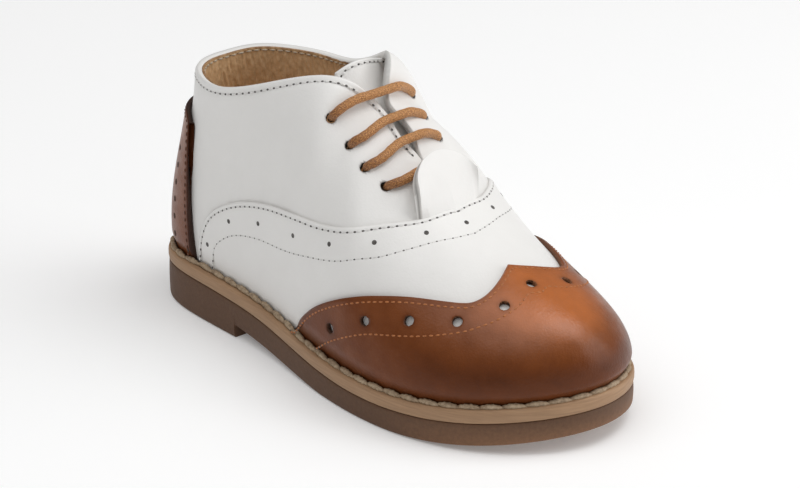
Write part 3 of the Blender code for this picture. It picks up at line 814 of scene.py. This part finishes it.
WHITE_STOPS = [
    (0.0, (0.34, 0.33, 0.315)), (0.25, (0.62, 0.60, 0.575)), (0.55, (0.82, 0.807, 0.785)),
    (1.0, (0.88, 0.87, 0.85))]
white_leather = leather("white_leather", WHITE_STOPS, 0.42, 0.06, 0.02, 0.10)
# Its darkest stop gives the painted shade in the eyelets.
raw_edge = raw_cut("raw_white_edge", (0.5, 4.0, 0.7), 0.08, [
    (0.0, (0.06, 0.055, 0.05)), (0.2, (0.60, 0.59, 0.57)), (0.38, (0.68, 0.67, 0.65)),
    (0.62, (0.78, 0.765, 0.74))])
needle_hole_shade, shader = new_material("needle_hole", {"Roughness": 0.9})
paint(needle_hole_shade, shader, noise(needle_hole_shade, object_place(needle_hole_shade), 1.5), [
    (0.3, (0.045, 0.04, 0.037)), (0.7, (0.14, 0.13, 0.122))])
white_thread = spun_thread("white_thread", (0.60, 0.585, 0.565), (0.84, 0.83, 0.81), 0.6, 0.1, 0.4)

seam = sample(SEAM, 14)
vamp_edge = line_points(seam)
heel = np.linspace(0, SEAM[0, 0], 60)
share = np.concatenate([heel[:-1], seam[:, 0]])
low = np.concatenate([np.full(len(heel) - 1, UPPER_FOOT), np.maximum(seam[:, 1] - SEAM_TUCK, UPPER_FOOT)])
along_seam = np.concatenate([-share[:0:-1], share])
low = np.concatenate([low[:0:-1], low])
t = low + (1 - low) * closing(QUARTER_ROWS, 1.4)
evened = ease(1.3 * np.linspace(0, 1, QUARTER_ROWS)[:, None])
q = along_seam + (np.linspace(-share[-1], share[-1], len(along_seam)) - along_seam) * evened
base = layer(q, t, 0)
top_q = np.concatenate([-np.linspace(THROAT_FOOT, 0, 500), np.linspace(0, THROAT_FOOT, 500)])
top_edge = layer(top_q, np.ones_like(top_q), 0)
throat_edge = top_edge[np.abs(top_q) > CORNER_SHARE]
rim_share = np.linspace(0, THROAT_FOOT - COLLAR_ROW_SHORT, COLLAR_POINTS)
collar = np.column_stack([rim_share, np.ones_like(rim_share)])
to_corner = collar[:POINTS_TO_CORNER]
collar_rows = [row_path(collar, -1, COLLAR_SUNK, COLLAR_SETBACK),
               row_path(to_corner, 1, COLLAR_SUNK, COLLAR_SETBACK)]
out = rolled_edge(nearest(base, top_edge), 0.7, 0.45) * (1 - ease((q - 0.44) / 0.03))
out = out + trough(nearest(base, sewn_line(collar_rows)), 0.9, 0.14) + creases(base, QUARTER_CREASES)
by_throat = ease((np.abs(q) - CORNER_SHARE) / 0.05) * ease((THROAT_FOOT - np.abs(q)) / 0.03)
by_throat = by_throat * ease((t - 0.72) / 0.28)
out = out + by_throat * np.where(q > 0, THROAT_PROUD, -THROAT_LOW)
shade = 0.46 + 0.08 * ease(t) + trough(nearest(base, throat_edge), 0.35, 0.40)
# Painted shadow: the quarters are darkened just above the vamp's edge.
shade = shade + darkened(nearest(base, vamp_edge), 0.8, 0.16)
eyelet_q, eyelet_t = np.array([(-share, t) for share, t in LATERAL_EYELETS] + list(MEDIAL_EYELETS)).T
eyelets = layer(eyelet_q, eyelet_t, 0)
grid, kept = punch(layer(q, t, out), eyelets, EYELET_RADIUS)
# Painted shade in the eyelets: their rims and a thin ring round them are darkened.
shade = shade + darkened(nearest(grid, eyelets) - EYELET_RADIUS, 0.15, 0.75)
panel("quarters", grid, shade, white_leather, QUARTER_THICK, raw_edge, ["upper"], kept)
sew("collar_stitches", collar_rows, white_thread)

# Lining
# Soft tan pigskin inside the upper, caught in the collar stitching and gathered in fine slanting wrinkles
# where the last pressed it in at the heel.
WALL = 2.45
LINING_THICK = 0.65
LINING_DROP = 0.008
LINING_SETBACK = 1.1
THROAT_DROP = 0.10
WRINKLE_DEPTH = 0.16
pigskin, shader = new_material("pigskin_lining", {"Roughness": 0.6, "Specular IOR Level": 0.35})
place = object_place(pigskin)
drawn = add_node(pigskin, "Mapping", {"Vector": place, "Scale": (1.0, 1.0, 0.7)}).outputs["Vector"]
folds = noise(pigskin, drawn, 1.7, 3.0, 0.6)
grain = add_node(pigskin, "TexVoronoi", {"Vector": drawn, "Scale": 900.0}).outputs["Distance"]
# Painted shade in the folds: the tone follows the same noise as their bump.
tone = scaled_sum(pigskin, folds, 0.42, from_mesh(pigskin, "shade"))
paint(pigskin, shader, scaled_sum(pigskin, grain, -0.3, tone), LINING_STOPS)
bumps(pigskin, shader, [(folds, 0.32), (grain, 0.12), (noise(pigskin, place, 0.4), 0.06)])
share = np.concatenate([np.linspace(0, THROAT_FOOT, 260), np.linspace(THROAT_FOOT, 1, 60)[1:]])
q = np.concatenate([-share[:0:-1], share])
short = THROAT_DROP * ease((np.abs(q) - 0.425) / 0.05) * ease((0.80 - np.abs(q)) / 0.1)
rim_t = 1 - LINING_DROP - short
t = rim_t * closing(60, 1.3)
run = np.abs(q) * SOLE_LENGTH
wrinkle = np.sin(run * 2.7 + 45 * t + 2.2 * np.sin(14 * t + 0.4 * run))
wrinkle = wrinkle * (0.6 + 0.4 * np.sin(31 * t - 0.9 * run))
wrinkle = wrinkle + 0.7 * np.sin(run * 4.3 + 60 * t + 2 * np.sin(0.8 * run)) * np.sin(19 * t + 1.7 * run)
wrinkle = wrinkle * ease(t * 4) * ease((rim_t - t) * 16) * ease((0.62 - np.abs(q)) / 0.1)
base = layer(q, t, 0)
out = WRINKLE_DEPTH * wrinkle - WALL + creases(base, QUARTER_CREASES)
grid, kept = punch(layer(q, t, out), layer(eyelet_q, eyelet_t, -WALL), EYELET_RADIUS)
# Painted light and shade: with the wrinkles, in a dark line under the top edge and toward the front.
shade = 0.36 + 0.05 * wrinkle + 0.12 * ease(t) + darkened(rim_t - t, 0.008, 0.45)
shade = shade - 0.34 * ease((np.abs(q) - 0.27) / 0.15)
panel("lining", grid, shade, pigskin, LINING_THICK, pigskin, keep=kept, flip=True)
cream_thread = spun_thread("cream_thread", (0.46, 0.38, 0.27), (0.72, 0.64, 0.52))
inner_rows = []
for side in (-1, 1):
    points, normals = row_path(to_corner, side, -WALL - 0.02, LINING_SETBACK)
    inner_rows.append((points, -normals))
sew("lining_stitches", inner_rows, cream_thread, hole=(0.2, 0.15))

# Vamp
# A second white panel lapped over the quarters in one sweep from the waist to the throat, sewn with two
# rows and pricked with small holes between them. Its edge is cut clean and left raw.
VAMP_STEP = 0.8
VAMP_THICK = 0.76
SEAM_START_OVER = 0.006
FOOT_RISE = 0.12
PINHOLE_RADIUS = 0.62
# Columns: share, height on the section of the inner stitch row.
VAMP_ROW = np.array([
    (0.235, 0.020),
    (0.242, 0.110),
    (0.252, 0.168),
    (0.275, 0.226),
    (0.310, 0.275),
    (0.363, 0.302),
    (0.420, 0.309),
    (0.478, 0.323),
    (0.532, 0.350),
    (0.583, 0.393),
    (0.620, 0.450),
    (0.650, 0.510),
    (0.677, 0.590),
    (0.702, 0.680),
    (0.727, 0.783),
    (0.752, 0.890),
    (0.773, 1.0)])
VAMP_SETBACK = 1.25
# Columns: share, height on the section of each pinhole, the same on both sides; the last is in the middle.
PINHOLES = ((0.228, 0.137), (0.288, 0.326), (0.367, 0.370), (0.467, 0.378), (0.562, 0.423), (0.642, 0.547),
            (0.707, 0.767))
MIDDLE_PINHOLE = (0.748, 1.0)
VAMP_CREASES = (
    (0.40, 0.20, 0.52, 0.25, 1.6, 0.10),
    (0.42, 0.16, 0.50, 0.19, 1.4, 0.08),
    (0.44, 0.25, 0.55, 0.29, 1.5, 0.07),
    (0.33, 0.10, 0.46, 0.12, 3.5, 0.22))


def vamp_out(share, t):
    """How far the vamp stands over the quarters: its full step, less at the sole and at the seam's start,
    with a smooth step up from the sole and a straight one along the seam."""
    start = np.clip((share - SEAM[0, 0]) / SEAM_START_OVER, 0, 1)
    return VAMP_STEP * start * (0.3 + 0.7 * ease(t / FOOT_RISE))


def toe_panel(line, toe_steps, rows, power):
    """(q, t) grid of a panel from the medial side round the toe to the lateral one. It goes up from the
    sole to a (share, t) line and, past that line's end, to the middle line. Its rows close up on top."""
    toe = np.linspace(line[-1, 0], 1, toe_steps)[1:]
    share = np.concatenate([line[:, 0], toe])
    high = np.concatenate([line[:, 1], np.ones(len(toe))])
    q = np.concatenate([share - 2, -share[-2::-1]])
    high = np.concatenate([high, high[-2::-1]])
    return q, UPPER_FOOT + (high - UPPER_FOOT) * closing(rows, power)


def both_sides(places, middle):
    """(q, t) columns of places on both sides of the shoe and of one on the middle line."""
    return np.array([(side * share, t) for side in (-1, 1) for share, t in places] + [middle]).T


def prick(name, q, t, out, radius, finish):
    """Small round holes as cups of painted shade: a raised lip, a floor just under it, at (q, t) places."""
    centre, up = layer(q, t, out), skin_normal(q, t)
    side = unit(np.cross(up, np.array([1.0, 0.3, 0])))
    other = np.cross(up, side)
    angle = turn(16)[:, None]
    ring = radius * (side[:, None] * np.cos(angle) + other[:, None] * np.sin(angle))
    rows = [(1.0, -0.2), (1.0, 0.036), (0.82, 0.03), (0.0, 0.02)]
    cups = np.stack([centre[:, None] + ring * wide + up[:, None] * lift for wide, lift in rows], axis=1)
    ride_root(add_mesh(name, [cups[..., ::-1, :]], finish, wrap=True, flip=True))


q, t = toe_panel(seam, 90, 66, 1.35)
proud = vamp_out(np.abs(round_toe(q)), t)
base = layer(q, t, 0)
to_edge = nearest(base, vamp_edge)
vamp_rows = [row_path(SEAM, side, VAMP_STEP - 0.08, VAMP_SETBACK) for side in (-1, 1)]
inner_rows = [row_path(VAMP_ROW, side, VAMP_STEP - 0.06) for side in (-1, 1)]
out = proud + rolled_edge(to_edge, 0.55, 0.35) * ease(proud / VAMP_STEP)
out = out + trough(nearest(base, sewn_line(vamp_rows)), 0.8, 0.13)
out = out + trough(nearest(base, sewn_line(inner_rows)), 0.8, 0.08) + creases(base, VAMP_CREASES)
shade = 0.50 + trough(to_edge, 0.35, 0.20) - 0.1 * (1 - ease(t / 0.08))
panel("vamp", layer(q, t, out), shade, white_leather, VAMP_THICK, raw_edge)
sew("vamp_edge_stitches", vamp_rows, white_thread, hole=(0.46, 0.30))
sew("vamp_inner_stitches", inner_rows, white_thread, 2.1, 0.17, (0.36, 0.22))
prick("vamp_pinholes", *both_sides(PINHOLES, MIDDLE_PINHOLE), VAMP_STEP, PINHOLE_RADIUS, needle_hole_shade)

# Wing toe cap
# Burnished tan leather lasted over the toe, its wings running back to the waist and its middle point up the
# vamp. Two rows of orange thread follow the edge with large punched holes between, white showing below.
LEATHER = 1.0
CAP_GAP = 0.4
CAP_THICK = 1.15
CAP_STITCH_SUNK = 0.10
BROGUE_RADIUS = 1.35
# Columns: share, height on the section of the wing-shaped edge.
WING = np.array([
    (0.445, 0.0),
    (0.490, 0.123),
    (0.537, 0.210),
    (0.588, 0.280),
    (0.660, 0.388),
    (0.723, 0.490),
    (0.787, 0.575),
    (0.815, 0.625),
    (0.835, 0.695),
    (0.858, 0.820),
    (0.885, 1.0)])
# Columns: share, height on the section of the inner stitch row.
WING_ROW = np.array([
    (0.522, 0.027),
    (0.553, 0.090),
    (0.582, 0.137),
    (0.627, 0.203),
    (0.663, 0.250),
    (0.732, 0.333),
    (0.793, 0.423),
    (0.823, 0.483),
    (0.857, 0.567),
    (0.875, 0.623),
    (0.897, 0.693),
    (0.917, 0.773),
    (0.940, 0.858),
    (0.967, 0.892),
    (1.0, 0.902)])
WING_SETBACK = 1.5
BROGUE_HOLES = ((0.568, 0.163), (0.643, 0.273), (0.717, 0.380), (0.793, 0.483), (0.873, 0.680))
MIDDLE_HOLE = (1.0, 0.985)


def cap_out(share, t):
    """Top face of the cap over the skin: the vamp's step plus a gap and one leather, which a smooth step
    pulls in at the sole."""
    return vamp_out(share, t) + (CAP_GAP + LEATHER) * (0.35 + 0.65 * ease(t / FOOT_RISE))


TAN_STOPS = [
    (0.0, (0.035, 0.0080, 0.0020)), (0.35, (0.130, 0.0340, 0.0080)), (0.6, (0.215, 0.0590, 0.0120)),
    (0.95, (0.45, 0.121, 0.018))]
tan_leather = leather("tan_leather", TAN_STOPS, 0.34, 0.03, 0.03, 0.10, 0.6)
tan_edge = raw_cut("raw_tan_edge", (0.3, 3.0, 0.55), 0.15, [
    (0.05, (0.036, 0.013, 0.006)), (0.45, (0.125, 0.047, 0.018)), (0.8, (0.28, 0.105, 0.038))])
orange_thread = spun_thread("orange_thread", (0.27, 0.078, 0.016), (0.52, 0.180, 0.043), 0.5, 0.1)

wing = sample(WING, 13)
q, t = toe_panel(wing, 44, 84, 1.25)
share = np.abs(round_toe(q))
base = layer(q, t, 0)
stitch_out = VAMP_STEP + CAP_GAP + LEATHER - CAP_STITCH_SUNK
edge_rows = [row_path(WING, side, stitch_out, WING_SETBACK) for side in (-1, 1)]
inner_rows = [row_path(WING_ROW, side, stitch_out) for side in (-1, 1)]
to_edge = nearest(base, line_points(wing))
to_rows = nearest(base, sewn_line(edge_rows + inner_rows))
out = cap_out(share, t) + rolled_edge(to_edge, 0.6, 0.4) + trough(to_rows, 0.8, 0.15)
hole_q, hole_t = both_sides(BROGUE_HOLES, MIDDLE_HOLE)
centres = layer(hole_q, hole_t, cap_out(np.abs(hole_q), hole_t))
grid, kept = punch(layer(q, t, out), centres, BROGUE_RADIUS)
toe_top = ease((share - 0.74) / 0.2) * ease((t - 0.3) / 0.4)
shade = 0.24 + 0.22 * ease(t / 0.75) + 0.30 * toe_top + darkened(to_edge, 1.2, 0.10)
shade = shade + trough(to_rows, 1.0, 0.14) - 0.12 * (1 - ease(t / 0.1))
# A darker band low on the toe's front: partly burnish, partly painted shade.
shade = shade + trough(t - 0.2, 0.1, 0.17) * ease((share - 0.66) / 0.12)
# Painted shade in the brogue holes: their walls and a ring round them are darkened.
shade = shade + darkened(nearest(grid, centres) - BROGUE_RADIUS, 0.6, 0.22)
panel("toe_cap", grid, shade, tan_leather, CAP_THICK, tan_edge, ["wing_toe_cap"], kept)
for name, rows in (("cap_edge_stitches", edge_rows), ("cap_inner_stitches", inner_rows)):
    sew(name, rows, orange_thread, 1.7, 0.25, (0.36, 0.27))

# Heel counter
# A tan leather piece lasted round the back of the heel, a little short of the collar, its cut edge dark and
# thick. One row of brown thread sews it on, and a line of small holes runs down either side.
COUNTER_TOP = 0.79
COUNTER_CORNER = 0.05
COUNTER_CORNER_FROM = 0.6
COUNTER_THICK = 1.4
COUNTER_SUNK = 0.15
COUNTER_STITCH_SUNK = 0.10
COUNTER_HOLE_RADIUS = 0.8
# Places of the stitch row and the holes, as shares of the counter's half width and height.
COUNTER_ROW_SIDE = 0.955
COUNTER_ROW_FOOT = 0.02
COUNTER_ROW_TOP = 0.965
COUNTER_HOLE_SIDE = 0.74
# Columns: height on the section, share of the counter's edge.
COUNTER_EDGE = np.array([
    (0.0, 0.190),
    (0.25, 0.185),
    (0.47, 0.177),
    (0.67, 0.163),
    (0.90, 0.145)])
COUNTER_HOLES = (0.12, 0.24, 0.36, 0.48, 0.60, 0.72)


def counter_place(across, up):
    """(q, t) of the counter: across from -1 to 1 between its edges, up from 0 to 1. Its top corners are
    quarter ellipses."""
    corner = np.clip((np.abs(across) - COUNTER_CORNER_FROM) / (1 - COUNTER_CORNER_FROM), 0, 1)
    top = COUNTER_TOP - COUNTER_CORNER * (1 - np.sqrt(1 - corner**2))
    t = up * top
    edge = spline(COUNTER_EDGE, t.ravel())[0].reshape(t.shape)
    return across * edge, t


across = np.sin(np.linspace(-np.pi / 2, np.pi / 2, 150))
across, up = np.broadcast_arrays(across, np.linspace(0, 1, 76)[:, None])
q, t = counter_place(across, up)
t = np.where(up == 0, UPPER_FOOT, t)
base = layer(q, t, 0)
side_row = np.full(120, COUNTER_ROW_SIDE)
top_row = np.linspace(-COUNTER_ROW_SIDE, COUNTER_ROW_SIDE, 160)
climb = np.linspace(COUNTER_ROW_FOOT, COUNTER_ROW_TOP, 120)
loop_up = np.concatenate([climb, np.full(160, COUNTER_ROW_TOP), climb[::-1]])
row_q, row_t = counter_place(np.concatenate([-side_row, top_row, side_row]), loop_up)
stitch_out = GAP + COUNTER_THICK - COUNTER_STITCH_SUNK
counter_row = (layer(row_q, row_t, stitch_out), skin_normal(row_q, row_t))
to_edge = nearest(base, np.concatenate([base[:, 0], base[-1], base[::-1, -1]]))
proud = GAP + COUNTER_THICK * (0.4 + 0.6 * ease(t / 0.08))
out = proud + rolled_edge(to_edge, 0.5, 0.25) + trough(nearest(base, counter_row[0]), 0.8, 0.14)
shade = 0.34 + 0.14 * ease(t) + darkened(to_edge, 1.2, 0.24) + trough(to_edge, 0.75, 0.32)
shade = shade - 0.12 * (1 - ease(t / 0.1))
panel("counter", layer(q, t, out), shade, tan_leather, COUNTER_THICK + COUNTER_SUNK, tan_edge,
      ["heel_counter"])
brown_thread = spun_thread("brown_thread", (0.050, 0.017, 0.007), (0.14, 0.048, 0.017), 0.55)
sew("counter_stitches", [counter_row], brown_thread, 1.9, 0.26, (0.42, 0.3))
hole_across = np.repeat([-COUNTER_HOLE_SIDE, COUNTER_HOLE_SIDE], len(COUNTER_HOLES))
hole_q, hole_t = counter_place(hole_across, np.array(COUNTER_HOLES * 2))
prick("counter_holes", hole_q, hole_t, GAP + COUNTER_THICK, COUNTER_HOLE_RADIUS, tan_edge)

# Tongue
# White leather from under the vamp to a rounded end just over the collar, bowed across the instep and sewn
# along its free edge.
TONGUE_THICK = 1.8
TONGUE_SAG = 0.031
TONGUE_SAG_TO = 7.0
TONGUE_ROUND_LATERAL = 2.0
TONGUE_ROUND_MEDIAL = 2.2
TONGUE_WIDER = 0.52
# About how far the middle is from the sides and the foot from the free end, for the rim's roll and shade.
TONGUE_TO_SIDE = 12
TONGUE_TO_END = 40
# Places of the stitch row, as shares of the half width and of the length from the free end.
TONGUE_ROW_LATERAL = -0.8
TONGUE_ROW_MEDIAL = 0.9
TONGUE_ROW_END = 0.058
TONGUE_ROW_FOOT = 0.5
# Columns: x, height and half width of the tongue's outer face, from its free end down to the vamp.
TONGUE = np.array([
    (64.2, 76.4, 6.8),
    (65.2, 73.2, 7.4),
    (67.0, 69.6, 8.2),
    (70.0, 66.0, 9.4),
    (78.0, 59.9, 10.5),
    (86.0, 53.3, 10.5),
    (93.0, 47.6, 10.0)])


def tongue_face(down, across, depth):
    """Face of the tongue `depth` under its outer one. Its middle line follows the table, and each cross
    line sags with the square of y. The free end is rounded, and wider on the medial side, where it
    leans on the collar's corner."""
    rows = np.column_stack([np.linspace(0, 1, len(TONGUE)), TONGUE])
    middle, slope = spline(rows, down.ravel())
    x, z, half = middle.T
    out = unit(np.column_stack([-slope[:, 1], np.zeros(len(x)), slope[:, 0]]))
    across, near_end = across.ravel(), 1 - ease(down.ravel() * 3)
    y = half * across * (1 + TONGUE_WIDER * (1 - ease(down.ravel() * 1.6)) * np.maximum(across, 0))
    round_end = np.where(across < 0, TONGUE_ROUND_LATERAL, TONGUE_ROUND_MEDIAL) * near_end * across**2
    sag = TONGUE_SAG * np.where(near_end > 0, np.minimum(y, TONGUE_SAG_TO + 4 * (1 - near_end)), y)**2
    flat = np.column_stack([x, y, z - round_end]) - (depth.ravel() + sag)[:, None] * out
    return flat.reshape(*down.shape, 3)


down, across = np.broadcast_arrays(np.linspace(0, 1, 90)[:, None], np.linspace(-1, 1, 64))
rim = np.minimum(TONGUE_TO_SIDE * (1 - np.abs(across)), TONGUE_TO_END * down)
depth = -rolled_edge(rim, 0.7, 0.5)
end_row = np.linspace(TONGUE_ROW_LATERAL, TONGUE_ROW_MEDIAL, 120)
climb = np.linspace(TONGUE_ROW_FOOT, TONGUE_ROW_END, 120)
row_across = np.concatenate([np.full(120, TONGUE_ROW_LATERAL), end_row])
row_down = np.concatenate([climb, np.full(120, TONGUE_ROW_END)])
row, under = [tongue_face(row_down, row_across, np.full(240, sunk)) for sunk in (0.08, 1.08)]
depth = depth - trough(nearest(tongue_face(down, across, 0 * depth), row), 0.8, 0.14)
shade = 0.48 + darkened(rim, 0.5, 0.12)
panel("tongue_leather", tongue_face(down, across, depth), shade, white_leather, TONGUE_THICK, raw_edge,
      ["tongue"])
sew("tongue_stitches", [(row, row - under)], white_thread)

# Throat tab
# A half-round white tab sewn under the vamp's edge at the foot of the throat and bent up by the lowest
# lace, its raw grey edge showing.
TAB_LIFT = 3.4
TAB_REACH_TOP = 0.185
TAB_REACH_FOOT = 0.21
TAB_TUCK = 0.45
TAB_PAST_SEAM = 0.005
TAB_CURL = 1.3
TAB_FLAT = 1.0
TAB_BEVEL = 0.13
TAB_THICK = 2.1
TAB_LATERAL = 1.03
TAB_MEDIAL = 0.88
TAB_SHADE = 0.5
TAB_RIM_SHADE = 0.22
TAB_CUT_SHADE = -0.16
# Columns: share of the half width from the middle, share round the shoe of the tab's free edge.
TAB_EDGE = np.array([
    (0.0, 0.648),
    (0.4, 0.651),
    (0.7, 0.657),
    (0.9, 0.665),
    (1.0, 0.672)])
across = np.linspace(0, 1, 40)
down = np.linspace(0, 1, 56)[:, None]
reach = TAB_REACH_TOP + (TAB_REACH_FOOT - TAB_REACH_TOP) * down
free = spline(TAB_EDGE, across)[0][:, 0]
sewn = np.interp(1 - across * TAB_REACH_FOOT, SEAM[:, 1], SEAM[:, 0]) + TAB_PAST_SEAM
share = free + (sewn - free) * down
lift = TAB_TUCK + (TAB_LIFT + GAP + TAB_THICK - TAB_TUCK) * (1 - down**TAB_CURL)


def tab_sheet(part):
    """Grid of the tab from its lateral edge to its nearer medial one, at a part of its thickness over its
    middle plane. The lateral edge stands off a little, by the square of its distance, and is cut on a
    slant."""
    wide = TAB_LATERAL * across * (1 - part * TAB_BEVEL)
    raised = lift + TAB_THICK * (part - 0.5)
    lateral = layer(-share, 1 - wide * reach, raised + TAB_FLAT * across**2 * (1 - down))[:, ::-1]
    medial = layer(share, 1 - TAB_MEDIAL * across * reach, raised)
    middle = (lateral[:, -1:] + medial[:, :1]) / 2
    return np.concatenate([lateral[:, :-1], middle, medial[:, 1:]], axis=1)


over, within, under = [tab_sheet(part) for part in (0.5, 0.0, -0.5)]
rings = np.concatenate([over, within[:, -1:], under[:, ::-1], within[:, :1]], axis=1)
ends = np.concatenate([within, within[:, -1:], within[:, ::-1], within[:, :1]], axis=1)
rings = np.concatenate([ends[:1], rings, ends[-1:]])
shade = np.full(rings.shape[:2], TAB_SHADE)
# The rim is raw grey leather, its cut face darkened further with painted shadow beneath the lifted tab.
shade[1, :], shade[:, 0], shade[:, over.shape[1] - 1] = [TAB_RIM_SHADE] * 3
shade[0, :], shade[:, over.shape[1]], shade[:, -1] = [TAB_CUT_SHADE] * 3
tab = add_mesh("tab", [rings], white_leather, wrap=True, values={"shade": shade})
ride_root(tab, ["throat_tab"])

# Lace
# One round waxed cotton cord in straight bars. It comes up through a lateral eyelet, bows over the throat,
# goes down on the medial side and runs inside to the next eyelet below; its ends stay inside.
LACE_RADIUS = 1.18
LACE_REST = 1.1
LACE_BOW = 0.45
LACE_INSIDE = -3.6
LACE_BEND = 1.8
LACE_STEP = 0.16
LACE_SIDES = 18
LACE_TIP = 6
LACE_MIDDLES = (0.527, 0.584, 0.618, 0.660)
LACE_LEAN = (0.001, 0.0125, 0.0085, 0.0065)
LACE_ENTRY = 0.03
LACE_OVER = 0.86
BRAID_PITCH = 3.0
BRAID_STRANDS = 4
# Columns: height over the skin, radius of the lace, which the eyelets squeeze.
LACE_SQUEEZE = np.array([
    (LACE_INSIDE, 0.8),
    (-1.5, 0.95),
    (0.0, 1.08),
    (LACE_REST, LACE_RADIUS)])
# The bars in the order the lace takes them, 0 at the top; True where it crosses to the lateral side. After
# each come the (q, t) places it passes inside on its way to the next, and the last is its end at the top.
LACE_ORDER = (
    (0, False, [(0.585, 0.795)]),
    (2, True, []),
    (3, False, [(0.630, 0.935), (0.605, 0.940)]),
    (1, True, [(-0.535, 0.745), (-0.515, 0.735)]))


def lace_bar(lateral, middle, medial, lean):
    """Route of one bar as (q, t, out) rows: up out of the lateral eyelet, over the middle line, down again.
    On the lateral side it leans to the toe, most at a third of its way, where 27/4 s (1 - s)^2 is 1, and
    it leaves the eyelet off its middle. On the medial side it bows higher, over the throat's proud edge."""
    s = np.linspace(LACE_ENTRY, LACE_OVER, 9)
    near_share = lateral[0] + (middle - lateral[0]) * s + lean * 27 / 4 * s * (1 - s)**2
    near = np.column_stack([-near_share, lateral[1] + (1 - lateral[1]) * s])
    far = np.column_stack([medial[0] + (middle - medial[0]) * s, medial[1] + (1 - medial[1]) * s])[::-1]
    bow = LACE_REST + LACE_BOW * ease(s)
    far_bow = bow + THROAT_PROUD * ease(s)
    rise = np.array([LACE_INSIDE, 0.3])[:, None]
    start = np.column_stack([np.tile(near[0], (2, 1)), rise])
    bars = [np.column_stack([near[1:], bow[1:]]), np.column_stack([far[:-1], far_bow[:0:-1]])]
    end = np.column_stack([np.tile(far[-1], (2, 1)), rise[::-1]])
    return np.vstack([start, *bars, end])


route = []
for number, back, inside in LACE_ORDER:
    ends = LATERAL_EYELETS[number], LACE_MIDDLES[number], MEDIAL_EYELETS[number]
    bar = lace_bar(*ends, LACE_LEAN[number])
    route.append(bar[::-1] if back else bar)
    route.append(np.array([(q, t, LACE_INSIDE) for q, t in inside]).reshape(-1, 3))
route = np.vstack(route)
place = layer(route[:, 0], route[:, 1], route[:, 2])
up = skin_normal(route[:, 0], route[:, 1])
run = run_length(place)
fine = np.arange(0, run[-1], LACE_STEP)
bend = np.hanning(2 * int(LACE_BEND / LACE_STEP) + 1)
path = at_lengths(fine, run, place)
path = np.pad(path, ((len(bend) // 2, len(bend) // 2), (0, 0)), mode="reflect", reflect_type="odd")
path = np.column_stack([np.convolve(column, bend / bend.sum(), "valid") for column in path.T])
thick = np.interp(np.interp(fine, run, route[:, 2]), *LACE_SQUEEZE.T)
thick[:LACE_TIP] *= np.sqrt(np.linspace(0, 1, LACE_TIP))
thick[-LACE_TIP:] *= np.sqrt(np.linspace(1, 0, LACE_TIP))
strand = np.sin(2 * np.pi * fine[:, None] / BRAID_PITCH + BRAID_STRANDS * turn(LACE_SIDES))
thick = thick[:, None] * (1 + 0.03 * strand)
rings = tubes(path, at_lengths(fine, run, up), thick, thick, LACE_SIDES)
uv = np.stack(np.broadcast_arrays(fine[:, None], LACE_RADIUS * turn(LACE_SIDES)), axis=-1)
waxed_cotton, shader = new_material("waxed_cotton", {"Roughness": 0.48, "Sheen Weight": 0.1})
place = add_node(waxed_cotton, "TexCoord").outputs
slant = add_node(waxed_cotton, "Mapping", {
    "Vector": place["UV"], "Rotation": (0, 0, 0.75), "Scale": (0.9, 1.9, 1)}).outputs["Vector"]
yarn = add_node(waxed_cotton, "TexNoise", {"Vector": slant, "Scale": 2.6, "Detail": 3.0}).outputs["Fac"]
tone = scaled_sum(waxed_cotton, yarn, 1.0, from_mesh(waxed_cotton, "shade"))
paint(waxed_cotton, shader, tone, [
    (0.28, (0.135, 0.047, 0.012)), (0.47, (0.385, 0.158, 0.041)), (0.62, (0.66, 0.335, 0.115))])
bumps(waxed_cotton, shader, [(yarn, 0.13), (noise(waxed_cotton, place["Object"], 0.25), 0.10)])
# Painted shade: the lace is darker where it comes up out of the lateral eyelets.
eyelet_entry_shade = trough(nearest(path, eyelets[:len(LATERAL_EYELETS)]), 4.5, 0.13)
lace = add_mesh("lace", [rings], waxed_cotton, wrap=True, uv=uv,
                values={"shade": np.broadcast_to(eyelet_entry_shade[:, None], rings.shape[:2])})
ride_root(lace, ["lace_bar_1", "lace_bar_2", "lace_bar_3", "lace_bar_4"])
